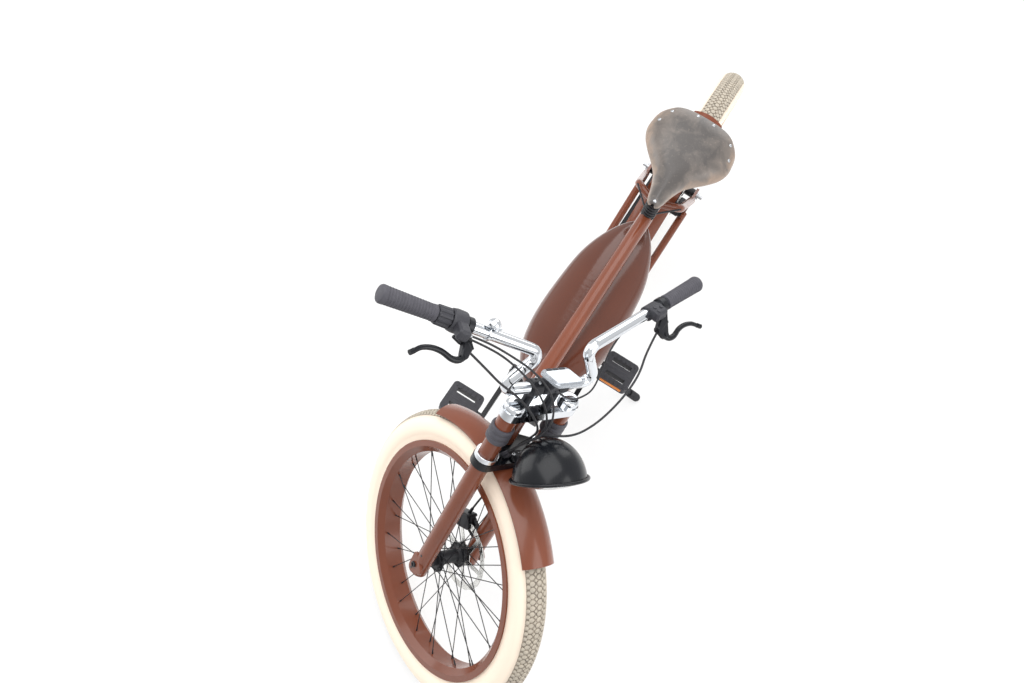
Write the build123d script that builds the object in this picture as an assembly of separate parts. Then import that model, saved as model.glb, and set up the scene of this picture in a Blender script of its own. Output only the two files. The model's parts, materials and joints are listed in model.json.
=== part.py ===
from build123d import *
from math import acos, asin, atan2, ceil, cos, degrees, pi, radians, sin, sqrt, tan
import os

# Electric fat bike, leaning on its side stand with the steering on its left stop.
# Everything is drawn upright with the wheels in line, in millimetres: X forwards, Y to the
# rider's left, Z up, origin on the ground below the rear axle. park() then leans and steers it.

# ---- wheels ----
tyre_radius = 360.0
tyre_section = 39.0
tyre_wall = 5.0
bead_half_width = 32.7
bead_radius = 284.0
rim_half_width = 37.0
rim_lip_radius = 289.0
rim_base_radius = 260.0
rim_wall = 3.5
spoke_count = 36
spoke_radius = 1.3
front_flange_radius = 31.0
rear_flange_radius = 58.0
hub_flange_y = 31.0
hub_flange_thick = 3.0
axle_radius = 6.0
axle_stub_radius = 5.0
axle_stub_length = 12.0
axle_nut_radius = 11.0
axle_nut_thick = 8.0
bearing_clearance = 0.05
disc_radius = 90.0
disc_thick = 2.0
disc_band = 15.0
disc_y = 46.0

# ---- geometry of the bike ----
wheelbase = 1357.0
head_angle = 63.1
fork_rake = 37.7
lean_angle = 13.6
steer_angle = 53.0
bottom_bracket = (796.0, 300.0)

# ---- fork and steering, in the fork's own frame (forwards, left, up the steering axis) ----
leg_offset = 42.0
leg_half_gap = 73.0
leg_radius = 21.0
leg_wall = 2.5
leg_foot = -24.0
seat_gap = 0.3
crown_thick = 20.0
upper_crown_height = 532.0
crown_margin = 7.0
steerer_radius = 14.3
head_tube_radius = 24.0
head_tube_gap = 4.0
bar_radius = 12.7
grip_bar_radius = 11.1
bar_height = 597.0
bar_forward = 28.0
riser_y = 34.0
riser_radius = 11.0
clamp_radius = 19.0

# ---- frame tubes ----
top_tube_radius = 19.0
down_tube_radius = 21.0
strut_radius = 17.0
mast_radius = 17.0
stay_radius = 11.0
tube_wall = 2.0
dropout_y = 79.0
dropout_thick = 8.0

# ---- motor, cranks, pedals and belt ----
motor_half_width = 43.0
cradle_wall = 10.0
cradle_half_width = 40.0
crank_length = 165.0
crank_y = 90.0
crank_thick = 13.0
crank_spindle_radius = 12.0
pedal_y = 156.0
pedal_half_width = 47.0
pedal_length = 92.0
pedal_thick = 24.0
pedal_spindle_radius = 6.0
belt_y = -54.0
belt_width = 12.0
belt_pitch = 11.0
belt_back = 1.8
belt_land = 1.0
belt_tooth = 3.4
belt_clearance = 0.35
front_teeth = 48
rear_teeth = 24

# ---- mudguards ----
guard_radius = 378.0
guard_half_width = 43.0
guard_crown = 62.0
guard_thick = 2.5
lower_crown_height = guard_radius + seat_gap
front_guard_from = 78.0
front_guard_to = 154.0
rear_guard_from = 12.0
rear_guard_to = 82.0

# ---- side stand ----
stand_pivot = (606.0, 58.0, 205.0)
stand_radius = 9.0
stand_foot_radius = 13.0
stand_foot_ground = (549.0, 262.0)
stand_fold = (-0.975, 0.16, 0.12)
stand_cant = 50.0
stand_eye = 2 * stand_radius + 2
stand_gap = 0.3
stand_boss = 36.0
stand_web_radius = 8.0
pivot_pin_radius = 5.0

baseAligned = (Align.CENTER, Align.CENTER, Align.MIN)
yAxis = Vector(0, 1, 0)


# ------------------------------------------------------------------ helpers
def rod(start, end, radius, bore=0.0):
    """A round bar or tube from one point to another."""
    start, end = Vector(*start), Vector(*end)
    run = end - start
    place = Plane(origin=start, z_dir=run).location
    body = Cylinder(radius, run.length, align=baseAligned)
    if bore > 0:
        body -= Cylinder(bore, run.length, align=baseAligned)
    return place * body


def bentTube(points, radii, radius, bore=0.0):
    """A round bar or tube along straight runs joined by tangent arcs."""
    path = FilletPolyline(*points, radius=radii)
    section = Circle(radius) - Circle(bore) if bore > 0 else Circle(radius)
    return sweep(Plane(origin=path @ 0, z_dir=path % 0) * section, path=path)


def mirrored(shape):
    return mirror(shape, about=Plane.XZ)


def pair(shape):
    """A piece and its twin on the other side of the bike."""
    return Compound([shape, mirrored(shape)])


def sidePlate(face, y, thick):
    """A side-view outline (X, Z) as a plate centred on y."""
    return extrude(Plane(origin=(0, y + thick / 2, 0), x_dir=(1, 0, 0), z_dir=(0, -1, 0)) * face, thick)


def sideRing(outer, inner, y, width, centre):
    place = Pos(centre[0], y, centre[1]) * Rot(90, 0, 0)
    ring = Cylinder(outer, width)
    if inner > 0:
        ring -= Cylinder(inner, width)
    return place * ring


def wheelTurned(profile, centre):
    """Revolve a profile given as (radius, y) about a wheel's axle."""
    solid = revolve(Plane.XY * profile, Axis.Y)
    return Pos(centre[0], 0, centre[1]) * solid


# ------------------------------------------------------------------ wheels
ring_radius = tyre_radius - tyre_section


def tyre():
    bead_top = ring_radius - sqrt(tyre_section**2 - bead_half_width**2)
    inner_section = tyre_section - tyre_wall
    inner_half = bead_half_width - tyre_wall
    inner_top = ring_radius - sqrt(inner_section**2 - inner_half**2)
    with BuildSketch() as sketch:
        with BuildLine():
            Polyline((bead_top, -bead_half_width), (bead_radius, -bead_half_width),
                     (bead_radius, -inner_half), (inner_top, -inner_half))
            ThreePointArc((inner_top, -inner_half), (ring_radius + inner_section, 0), (inner_top, inner_half))
            Polyline((inner_top, inner_half), (bead_radius, inner_half),
                     (bead_radius, bead_half_width), (bead_top, bead_half_width))
            ThreePointArc((bead_top, bead_half_width), (tyre_radius, 0), (bead_top, -bead_half_width))
        make_face()
    return sketch.sketch


def rim():
    lip_inner = bead_half_width
    floor_radius = bead_radius
    outline = [
        (rim_lip_radius, rim_half_width), (rim_base_radius + 14, rim_half_width),
        (rim_base_radius, rim_half_width - 14), (rim_base_radius, -rim_half_width + 14),
        (rim_base_radius + 14, -rim_half_width), (rim_lip_radius, -rim_half_width),
        (rim_lip_radius, -lip_inner), (floor_radius, -lip_inner), (floor_radius, -lip_inner + 9),
        (floor_radius - 8, -lip_inner + 12), (floor_radius - 8, lip_inner - 12),
        (floor_radius, lip_inner - 9), (floor_radius, lip_inner), (rim_lip_radius, lip_inner),
    ]
    hollow = [
        (rim_base_radius + rim_wall, rim_half_width - 14 - rim_wall / 2),
        (rim_base_radius + 14, rim_half_width - rim_wall),
        (floor_radius - rim_wall, rim_half_width - rim_wall),
        (floor_radius - rim_wall, lip_inner - 9),
        (floor_radius - 8 - rim_wall, lip_inner - 12),
    ]
    hollow += [(r, -y) for r, y in reversed(hollow)]
    return make_face(Polyline(*outline, close=True)) - make_face(Polyline(*hollow, close=True))


def spokes(centre, flange_radius):
    """Crossed spokes: each flange carries heads on both of its faces, leaning opposite ways."""
    bars = []
    per_side = spoke_count // 2
    lead = 64.0
    for side in (-1, 1):
        for index in range(per_side):
            turn = 1 if index % 2 else -1
            at_rim = (index + (0.5 if side > 0 else 0.0)) * 360.0 / per_side
            at_hub = at_rim + turn * lead
            head_y = side * (hub_flange_y + turn * (hub_flange_thick / 2 + spoke_radius + 0.6))
            rim_y = side * (14.0 if turn > 0 else 7.0)
            reach = rim_base_radius - 0.3
            hub = Vector((flange_radius - 4) * cos(radians(at_hub)), head_y,
                         (flange_radius - 4) * sin(radians(at_hub)))
            tip = Vector(reach * cos(radians(at_rim)), rim_y, reach * sin(radians(at_rim)))
            place = Plane(origin=hub, z_dir=tip - hub)
            bars.append(extrude(place * RegularPolygon(spoke_radius, 6), (tip - hub).length))
    return Pos(centre[0], 0, centre[1]) * Compound(bars)


def hub(barrel_radius, flange_radius, half_length, right_shoulder):
    """A hub shell turned about its axle, with two spoke flanges and the disc's seat on the left."""
    inner, outer = hub_flange_y - hub_flange_thick / 2, hub_flange_y + hub_flange_thick / 2
    root = flange_radius - 8
    disc_seat = disc_y - disc_thick / 2
    bore = axle_radius + bearing_clearance
    outline = [
        (bore, -half_length), (14, -half_length), (14, -right_shoulder), (22, -right_shoulder),
        (root, -outer), (flange_radius, -outer), (flange_radius, -inner), (root, -inner),
        (barrel_radius, -inner + 6), (barrel_radius, inner - 6), (root, inner), (flange_radius, inner),
        (flange_radius, outer), (root, outer), (22, disc_seat), (14, disc_seat), (14, half_length),
        (bore, half_length),
    ]
    return make_face(Polyline(*outline, close=True))


def brakeDisc(centre, y):
    """Braking band, six swept arms and the ring that bolts to the hub."""
    inner_band = disc_radius - disc_band
    seat_outer, seat_inner = 30.0, 15.0
    face = Circle(disc_radius) - Circle(inner_band)
    face += Circle(seat_outer) - Circle(seat_inner)
    arm = Polyline((seat_outer - 3, -5), (inner_band + 2, 15), (inner_band + 2, 24), (seat_outer - 3, 6), close=True)
    for index in range(6):
        face += Rot(0, 0, 60 * index) * make_face(arm)
    return Pos(centre[0], 0, centre[1]) * sidePlate(face, y, disc_thick)


# ------------------------------------------------------------------ belt drive
def beltPath(centre_a, radius_a, centre_b, radius_b):
    """Length of an open belt round two pulleys, and a walk along it: (x, z, outward x, outward z)."""
    dx, dz = centre_b[0] - centre_a[0], centre_b[1] - centre_a[1]
    span = sqrt(dx * dx + dz * dz)
    base = atan2(dz, dx)
    tilt = asin((radius_b - radius_a) / span)
    run = sqrt(span**2 - (radius_b - radius_a)**2)
    top_angle = base + pi / 2 + tilt
    low_angle = base - pi / 2 - tilt
    wrap_b = pi + 2 * tilt
    wrap_a = pi - 2 * tilt
    lengths = [run, radius_b * wrap_b, run, radius_a * wrap_a]

    def walk(s):
        s = s % sum(lengths)
        if s < lengths[0]:
            n = (cos(top_angle), sin(top_angle))
            along = (sin(top_angle), -cos(top_angle))
            return (centre_a[0] + radius_a * n[0] + s * along[0], centre_a[1] + radius_a * n[1] + s * along[1], *n)
        s -= lengths[0]
        if s < lengths[1]:
            angle = top_angle - s / radius_b
            n = (cos(angle), sin(angle))
            return (centre_b[0] + radius_b * n[0], centre_b[1] + radius_b * n[1], *n)
        s -= lengths[1]
        if s < lengths[2]:
            n = (cos(low_angle), sin(low_angle))
            along = (sin(low_angle), -cos(low_angle))
            return (centre_b[0] + radius_b * n[0] + s * along[0], centre_b[1] + radius_b * n[1] + s * along[1], *n)
        s -= lengths[2]
        angle = low_angle - s / radius_a
        n = (cos(angle), sin(angle))
        return (centre_a[0] + radius_a * n[0], centre_a[1] + radius_a * n[1], *n)

    return sum(lengths), walk, lengths, top_angle, low_angle


rear_axle = (0.0, tyre_radius)
rear_pitch_radius = rear_teeth * belt_pitch / (2 * pi)
front_pitch_radius = front_teeth * belt_pitch / (2 * pi)
pitch = belt_pitch
for attempt in range(6):
    belt_length, beltWalk, belt_runs, belt_top, belt_low = beltPath(
        rear_axle, rear_teeth * pitch / (2 * pi), bottom_bracket, front_teeth * pitch / (2 * pi))
    belt_teeth = round(belt_length / belt_pitch)
    pitch = belt_length / belt_teeth
rear_pitch_radius = rear_teeth * pitch / (2 * pi)
front_pitch_radius = front_teeth * pitch / (2 * pi)


def belt():
    inner = []
    for tooth in range(belt_teeth):
        for shift, depth in ((-2.7, belt_land), (-2.0, belt_land + belt_tooth),
                             (2.0, belt_land + belt_tooth), (2.7, belt_land)):
            x, z, nx, nz = beltWalk((tooth + 0.5) * pitch + shift)
            inner.append((x - depth * nx, z - depth * nz))
    radius_a, radius_b = rear_pitch_radius + belt_back, front_pitch_radius + belt_back

    def rimPoint(centre, radius, angle):
        return (centre[0] + radius * cos(angle), centre[1] + radius * sin(angle))

    a_top, b_top = rimPoint(rear_axle, radius_a, belt_top), rimPoint(bottom_bracket, radius_b, belt_top)
    a_low, b_low = rimPoint(rear_axle, radius_a, belt_low), rimPoint(bottom_bracket, radius_b, belt_low)
    middle = (belt_top + belt_low) / 2
    with BuildSketch() as sketch:
        with BuildLine():
            Line(a_top, b_top)
            ThreePointArc(b_top, rimPoint(bottom_bracket, radius_b, middle), b_low)
            Line(b_low, a_low)
            ThreePointArc(a_low, rimPoint(rear_axle, radius_a, middle + pi), a_top)
        make_face()
    face = sketch.sketch - make_face(Polyline(*inner, close=True))
    return sidePlate(face, belt_y, belt_width)


def sprocket(centre, teeth, pitch_radius, phase, bore, windows):
    """A toothed pulley whose valleys hold the belt's teeth at the given phase."""
    crest = pitch_radius - belt_land - belt_clearance
    valley = pitch_radius - belt_land - belt_tooth - belt_clearance
    outline = []
    for index in range(teeth):
        angle = phase - index * 2 * pi / teeth
        for shift, radius in ((3.1, crest), (2.5, valley), (-2.5, valley), (-3.1, crest)):
            turn = angle + shift / radius
            outline.append((radius * cos(turn), radius * sin(turn)))
    face = make_face(Polyline(*outline, close=True)) - Circle(bore)
    for index in range(windows):
        spot = PolarLocations((valley + bore) / 2 + 2, windows)
        face -= spot * Circle((valley - bore) / 2 - 9)
        break
    return Pos(centre[0], 0, centre[1]) * sidePlate(face, belt_y, belt_width - 1)


def firstTooth(run_start, start_angle, radius):
    """Angle of the belt tooth that comes first on a pulley's arc."""
    number = ceil(run_start / pitch - 0.5)
    return start_angle - ((number + 0.5) * pitch - run_start) / radius


front_phase = firstTooth(belt_runs[0], belt_top, front_pitch_radius)
rear_phase = firstTooth(sum(belt_runs[:3]), belt_low, rear_pitch_radius)

# ------------------------------------------------------------------ steering frame
head = radians(head_angle)
steer_dir = Vector(-cos(head), 0, sin(head))
fork_dir = Vector(sin(head), 0, cos(head))
fork_base = Vector(wheelbase, 0, tyre_radius) - fork_dir * fork_rake
fork_frame = Plane(origin=fork_base, x_dir=fork_dir, z_dir=steer_dir).location
front_axle = (wheelbase, tyre_radius)


def onFork(forward, left, up):
    return fork_base + fork_dir * forward + yAxis * left + steer_dir * up


head_low = lower_crown_height + crown_thick + head_tube_gap
head_high = upper_crown_height - head_tube_gap
leg_top = upper_crown_height + crown_thick


def forkLegs():
    leg = Cylinder(leg_radius, leg_top - leg_foot, align=baseAligned)
    leg -= Pos(0, 0, 50) * Cylinder(leg_radius - leg_wall, leg_top, align=baseAligned)
    leg = Pos(leg_offset, leg_half_gap, leg_foot) * leg
    foot = Pos(fork_rake, leg_half_gap, 0) * Rot(90, 0, 0) * Cylinder(axle_radius, 4 * leg_radius)
    return fork_frame * pair(leg - foot)


def crownOutline(margin):
    legs = [Pos(leg_offset, side * leg_half_gap) * Circle(leg_radius + margin) for side in (-1, 1)]
    return make_hull((Circle(steerer_radius + margin + 4) + legs[0] + legs[1]).edges())


def crown(height, margin):
    face = crownOutline(margin) - Circle(steerer_radius)
    for side in (-1, 1):
        face -= Pos(leg_offset, side * leg_half_gap) * Circle(leg_radius)
    return fork_frame * (Pos(0, 0, height) * extrude(face, crown_thick))


def steerer():
    length = leg_top - lower_crown_height
    return fork_frame * (Pos(0, 0, lower_crown_height) *
                         (Cylinder(steerer_radius, length, align=baseAligned)
                          - Cylinder(steerer_radius - 2.5, length, align=baseAligned)))


def legCaps():
    """Chromed caps over the leg tops and the steerer's bolt cap."""
    cap = Cylinder(leg_radius + 2, 15, align=baseAligned)
    cap = fillet(cap.edges().group_by(Axis.Z)[-1], 8)
    stem_cap = fillet(Cylinder(steerer_radius + 4, 9, align=baseAligned).edges().group_by(Axis.Z)[-1], 4)
    caps = pair(Pos(leg_offset, leg_half_gap, leg_top) * cap) + Pos(0, 0, leg_top) * stem_cap
    return fork_frame * caps


def legBands():
    """Ribbed rubber bands round the legs between the crowns, and the chromed ring below them."""
    low = lower_crown_height + crown_thick + 62
    ribs = 6
    step = (upper_crown_height - low) / ribs
    outline = [(leg_radius, low), (leg_radius + 3, low)]
    for index in range(ribs):
        z = low + index * step
        outline += [(leg_radius + 5, z + step * 0.3), (leg_radius + 5, z + step * 0.7), (leg_radius + 3, z + step)]
    outline.append((leg_radius, upper_crown_height))
    band = revolve(Plane.XZ * make_face(Polyline(*outline, close=True)), Axis.Z)
    return fork_frame * pair(Pos(leg_offset, leg_half_gap, 0) * band)


def legRings():
    ring = Cylinder(leg_radius + 6, 14, align=baseAligned) - Cylinder(leg_radius, 14, align=baseAligned)
    ring = fillet(ring.edges().filter_by(GeomType.CIRCLE).sort_by(SortBy.RADIUS)[-2:], 2)
    return fork_frame * pair(Pos(leg_offset, leg_half_gap, lower_crown_height + crown_thick) * ring)


# ------------------------------------------------------------------ handlebar and what it carries
bar_low_corner = (30.0, 131.0, 597.0)


def forkLocal(x, y, z):
    """A point of the upright bike in the fork's own frame."""
    offset = Vector(x, y, z) - fork_base
    return (offset.dot(fork_dir), y, offset.dot(steer_dir))


bar_points_left = [(bar_forward, 0, bar_height), (bar_forward, 131, bar_height), forkLocal(1030, 59, 972),
                   forkLocal(902, 414, 997)]
bar_end = Vector(*bar_points_left[-1])
bar_bend = Vector(*bar_points_left[-2])
grip_dir = (bar_end - bar_bend).normalized()
grip_length = 118.0


def alongBar(distance, side=1):
    """A point on the grip stretch of the bar, measured inwards from its end."""
    point = bar_end - grip_dir * distance
    return Vector(point.X, side * point.Y, point.Z)


def handlebar():
    left = bar_points_left
    points = [(p[0], -p[1], p[2]) for p in reversed(left[1:])] + left[1:]
    radii = [19, 19, 19, 19]
    return fork_frame * bentTube(points, radii, bar_radius, bar_radius - 2)


def barClamps():
    """Two risers on the upper crown, each with the cap that grips the bar."""
    post = rod((bar_forward, riser_y, leg_top), (bar_forward, riser_y, bar_height), riser_radius)
    grip = Pos(bar_forward, riser_y, bar_height) * Rot(90, 0, 0) * Cylinder(clamp_radius, 24)
    bore = Pos(bar_forward, riser_y, bar_height) * Rot(90, 0, 0) * Cylinder(bar_radius, 60)
    return fork_frame * pair(post + grip - bore)


def onGrip(shape, distance, side=1):
    """Place a piece drawn along +Z (towards the bar's end) on the bar."""
    z_dir = Vector(grip_dir.X, side * grip_dir.Y, grip_dir.Z)
    up = steer_dir
    return fork_frame * (Plane(origin=alongBar(distance, side), z_dir=z_dir,
                               x_dir=z_dir.cross(Vector(0, 0, 1))).location * shape)


def sleeve(outer, length, inner=None):
    inner = bar_radius if inner is None else inner
    return Cylinder(outer, length, align=baseAligned) - Cylinder(inner, length, align=baseAligned)


def leftGrip():
    outline = [(bar_radius, 0), (16, 0), (16.5, 6), (15.2, 12), (17.4, 70), (18.4, 112), (16, 120), (0, 120),
               (0, 118), (bar_radius, 118)]
    return revolve(Plane.XZ * make_face(Polyline(*outline, close=True)), Axis.Z)


def rightGrip():
    outline = [(bar_radius, 0)]
    ribs = 11
    for index in range(ribs):
        z = index * 10.0
        outline += [(16.6, z), (16.6, z + 7), (15.6, z + 8.5), (15.6, z + 10)]
    outline += [(17.2, 110), (17.2, 117), (15, 120), (0, 120), (0, 118), (bar_radius, 118)]
    return revolve(Plane.XZ * make_face(Polyline(*outline, close=True)), Axis.Z)


def twistShifter():
    """The hub gear's twist sleeve and the housing that its two cables leave."""
    body = sleeve(23, 30) + Pos(0, 0, 30) * sleeve(19.5, 34)
    housing = Pos(20, 0, 14) * Box(30, 30, 26)
    housing = fillet(housing.edges().filter_by(Axis.Z), 6)
    return body + (housing - Cylinder(bar_radius, 80))


# ------------------------------------------------------------------ saddle
def saddleSection(x, half_width, top, drop, wall=5.0):
    """An arched strip of leather across the bike at x."""
    inner_half, inner_drop = half_width - wall, drop
    with BuildSketch(Plane(origin=(x, 0, 0), x_dir=(0, 1, 0), z_dir=(1, 0, 0))) as sketch:
        with BuildLine():
            ThreePointArc((-half_width, top - drop), (0, top), (half_width, top - drop))
            Line((half_width, top - drop), (inner_half, top - drop))
            ThreePointArc((inner_half, top - drop), (0, top - wall), (-inner_half, top - drop))
            Line((-inner_half, top - drop), (-half_width, top - drop))
        make_face()
    return sketch.sketch


def saddleLeather():
    stations = [(122, 84, 792, 26), (150, 106, 793, 40), (205, 112, 788, 50), (262, 86, 780, 48),
                (320, 45, 773, 38), (375, 27, 770, 28), (416, 18, 764, 16)]
    return loft([saddleSection(*station) for station in stations])


# ------------------------------------------------------------------ tank
def tank():
    """The teardrop body below the top tube, which holds the battery."""
    stations = [(392, 9, 5, 630), (425, 41, 17, 626), (480, 70, 34, 622), (560, 93, 50, 622), (660, 102, 60, 628),
                (760, 104, 66, 638), (850, 97, 66, 654), (930, 76, 56, 676), (990, 40, 34, 696), (1020, 10, 10, 706)]
    sections = [Plane(origin=(x, 0, z), x_dir=(0, 1, 0), z_dir=(1, 0, 0)) * Ellipse(w, h)
                for x, w, h, z in stations]
    return loft(sections)


# ------------------------------------------------------------------ frame tubes
mast_foot = (340.0, 0.0, 612.0)
mast_top = (326.0, 0.0, 702.0)
nose_spring_top = 747.0
top_tube_head = onFork(0, 0, 500)
top_tube_seat = Vector(336, 0, 650)
down_tube_head = onFork(0, 0, 455)
down_tube_knee = Vector(980, 0, 518)
cradle_front = Vector(884, 0, 398)
cradle_rear = Vector(752, 0, 366)


def motorOutline():
    points = [(728, 250), (728, 330), (772, 384), (872, 384), (904, 344), (890, 262), (830, 228), (765, 228)]
    return fillet(make_face(Polyline(*points, close=True)).vertices(), 16)


def motor():
    block = sidePlate(motorOutline(), 0, 2 * motor_half_width)
    left = sideRing(58, 0, motor_half_width + 5, 10, bottom_bracket)
    bore = sideRing(crank_spindle_radius + bearing_clearance, 0, 0, 4 * motor_half_width, bottom_bracket)
    return block + left - bore


def cradleBlock():
    """All that the cradle wraps, itself included."""
    return sidePlate(offset(motorOutline(), cradle_wall), 0, 4 * cradle_half_width)


def cradle():
    band = offset(motorOutline(), cradle_wall) - motorOutline()
    band -= Pos(860, 240) * Rectangle(160, 240)
    band -= Pos(740, 190) * Rectangle(160, 110)
    return sidePlate(band, 0, 2 * cradle_half_width)


head_solid = fork_frame * (Pos(0, 0, head_low) * Cylinder(head_tube_radius, head_high - head_low, align=baseAligned))


def headTube():
    bore = fork_frame * Cylinder(steerer_radius + bearing_clearance, 3 * leg_top)
    return head_solid - bore


def topTube():
    tube = rod(top_tube_seat, top_tube_head, top_tube_radius, top_tube_radius - tube_wall)
    return tube - head_solid - rod(mast_foot, mast_top, mast_radius)


def downTube():
    points = [down_tube_head, down_tube_knee, cradle_front]
    tube = bentTube(points, [160], down_tube_radius, down_tube_radius - tube_wall)
    return tube - head_solid - cradleBlock()


def strut():
    tube = rod(cradle_rear, mast_foot, strut_radius, strut_radius - tube_wall)
    return tube - cradleBlock() - rod(mast_foot, mast_top, mast_radius) - guardBoss()


def guardBoss():
    outward = Vector(mast_foot[0] - rear_axle[0], 0, mast_foot[2] - rear_axle[1]).normalized()
    guard_top = Vector(rear_axle[0], 0, rear_axle[1]) + outward * (guard_radius + seat_gap)
    return rod(guard_top, mast_foot, 8)


def mast():
    """The short seat tube, with the boss that reaches down to the rear mudguard."""
    return rod(mast_foot, mast_top, mast_radius) + guardBoss() - rod(mast_foot, mast_top, mast_radius - tube_wall)


chain_stay_route = [(722, 28, 266), (640, 30, 272), (540, 70, 288), (70, dropout_y, 344)]
seat_stay_route = [(330, 12, 654), (306, 64, 650), (52, dropout_y, 392)]


def chainStay(bore=0.0):
    return bentTube(chain_stay_route, [60, 60], stay_radius, bore)


def seatStay(bore=0.0):
    return bentTube(seat_stay_route, [34], stay_radius, bore)


def chainStays():
    return pair(chainStay(stay_radius - tube_wall) - cradleBlock())


def seatStays():
    stay = seatStay(stay_radius - tube_wall)
    top = rod(top_tube_seat, top_tube_head, top_tube_radius)
    return pair(stay - rod(mast_foot, mast_top, mast_radius) - top)


def dropouts():
    axle = rear_axle
    outer = Pos(*axle) * Circle(20)
    outer += Pos(62, 345) * Circle(stay_radius + 1)
    outer += Pos(44, 384) * Circle(stay_radius + 1)
    plate = make_hull(outer.edges()) - Pos(*axle) * Circle(axle_radius)
    plate = sidePlate(plate, dropout_y, dropout_thick)
    return pair(plate - chainStay() - seatStay())


dropout_face = dropout_y + dropout_thick / 2
stub_start = dropout_face + axle_nut_thick


def rearAxle():
    """The axle with a nut outside each dropout and the bare stub beyond it."""
    bar = sideRing(axle_radius, 0, 0, 2 * dropout_face, rear_axle)
    bar += sideRing(axle_stub_radius, 0, 0, 2 * (stub_start + axle_stub_length), rear_axle)
    nut = sideRing(axle_nut_radius, 0, dropout_face + axle_nut_thick / 2, axle_nut_thick, rear_axle)
    return bar + nut + mirrored(nut)


# ------------------------------------------------------------------ saddle's springs and post
def coil(base, top, coil_radius, wire_radius, turns):
    """A closely wound spring, its turns as rings fused to a thin sleeve."""
    base, top = Vector(*base), Vector(*top)
    height = (top - base).length
    step = height / turns
    outline = [(coil_radius - 2 * wire_radius, 0)]
    for index in range(turns):
        z = index * step
        outline += [(coil_radius - wire_radius, z), (coil_radius, z + step * 0.3), (coil_radius, z + step * 0.7)]
    outline += [(coil_radius - wire_radius, height), (coil_radius - 2 * wire_radius, height)]
    body = revolve(Plane.XZ * make_face(Polyline(*outline, close=True)), Axis.Z)
    return Plane(origin=base, z_dir=top - base).location * body


def nosePad():
    """The pad on the top tube below the nose spring."""
    foot = top_tube_seat + (top_tube_head - top_tube_seat).normalized() * 62
    return foot, foot + Vector(0, 0, 1) * (top_tube_radius + 4)


def noseSpring():
    foot, base = nosePad()
    spring = coil(tuple(base), (foot.X + 4, 0, nose_spring_top), 19, 4, 6)
    pad = rod(foot, base, 15) - rod(top_tube_seat, top_tube_head, top_tube_radius)
    stud = rod((foot.X + 4, 0, nose_spring_top), (foot.X + 4, 0, nose_spring_top + 12.5), 8)
    return spring + pad + stud


def saddlePost():
    """Seat post with the clamp and crossbar that carry the saddle's frame."""
    axis = (Vector(*mast_top) - Vector(*mast_foot)).normalized()
    head = Vector(*mast_top) + axis * 26
    post = rod(Vector(*mast_top) - axis * 70, head, mast_radius - tube_wall - seat_gap)
    collar = rod(Vector(*mast_top) - axis * 16, Vector(*mast_top) + axis * 2, mast_radius + 5, mast_radius + 0.05)
    clamp = rod((head.X, -26, head.Z), (head.X, 26, head.Z), 14)
    return post + clamp, collar


def saddleRails():
    """Two rails from the nose back to the crossbar over the rear springs, and the cantle arch."""
    height = mast_top[2] + 26 + 14 + 4
    rail = rod((384, 10, 745), (318, 22, height), 4) + Pos(318, 22, height) * Sphere(4)
    rail += rod((318, 22, height), (168, 46, 738), 4)
    rail += rod((168, 58, 738), (136, 58, 768), 4)
    back = rod((168, -66, 738), (168, 66, 738), 5)
    cantle = extrude(saddleSection(133, 89.5, 786.9, 33, 4), 6)
    return rail + mirrored(rail) + back + cantle - noseSpring()


def rearSprings():
    return pair(coil((168, 58, 690), (168, 58, 733), 17, 3.5, 5))


def saddleWires():
    """Thin black stays from the nose spring's foot out to the shoulders of the seat stays."""
    wire = rod((388, 11, 676), (316, 66, 661), 2.5)
    return pair(wire - seatStay() - noseSpring() - rod(top_tube_seat, top_tube_head, top_tube_radius))


# ------------------------------------------------------------------ mudguards
def mudguard(centre, start, end):
    """A curved blade over the tyre, arched across its width, with rounded tips."""
    inner = guard_crown - guard_thick
    drop = guard_crown - sqrt(guard_crown**2 - guard_half_width**2)
    with BuildSketch() as sketch:
        with BuildLine():
            ThreePointArc((guard_radius - drop, -guard_half_width), (guard_radius, 0),
                          (guard_radius - drop, guard_half_width))
            Line((guard_radius - drop, guard_half_width), (guard_radius - drop - guard_thick, guard_half_width))
            ThreePointArc((guard_radius - drop - guard_thick, guard_half_width), (guard_radius - guard_thick, 0),
                          (guard_radius - drop - guard_thick, -guard_half_width))
            Line((guard_radius - drop - guard_thick, -guard_half_width), (guard_radius - drop, -guard_half_width))
        make_face()
    blade = revolve(sketch.sketch, Axis((0, 0, 0), (0, -1, 0)), end - start)
    return Pos(centre[0], 0, centre[1]) * Rot(0, -start, 0) * blade


# ------------------------------------------------------------------ parked pose
def tilted(lean, pitch, lift):
    return Pos(0, 0, lift) * Rot(0, pitch, 0) * Rot(-lean, 0, 0)


def lowest(place, centre, axle):
    """Height of a tyre's lowest point once placed."""
    at = (place * Pos(*centre)).position
    aim = (place * Pos(*(Vector(*centre) + axle))).position - at
    return at.Z - (ring_radius * sqrt(1 - aim.Z**2) + tyre_section)


steering = Location(fork_base) * Location((0, 0, 0), tuple(steer_dir), steer_angle) * Location(fork_base).inverse()
front_centre = (steering * Pos(wheelbase, 0, tyre_radius)).position
front_aim = (steering * Pos(wheelbase, 1, tyre_radius)).position - front_centre
pitch_low, pitch_high = -5.0, 5.0
for attempt in range(50):
    pitch_angle = (pitch_low + pitch_high) / 2
    pose = tilted(lean_angle, pitch_angle, 0)
    rear_low = lowest(pose, (0, 0, tyre_radius), yAxis)
    front_low = lowest(pose, tuple(front_centre), front_aim)
    if front_low > rear_low:
        pitch_low = pitch_angle
    else:
        pitch_high = pitch_angle
parked = tilted(lean_angle, pitch_angle, -rear_low)
print("pitch", round(pitch_angle, 3), "lift", round(-rear_low, 2))

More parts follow.
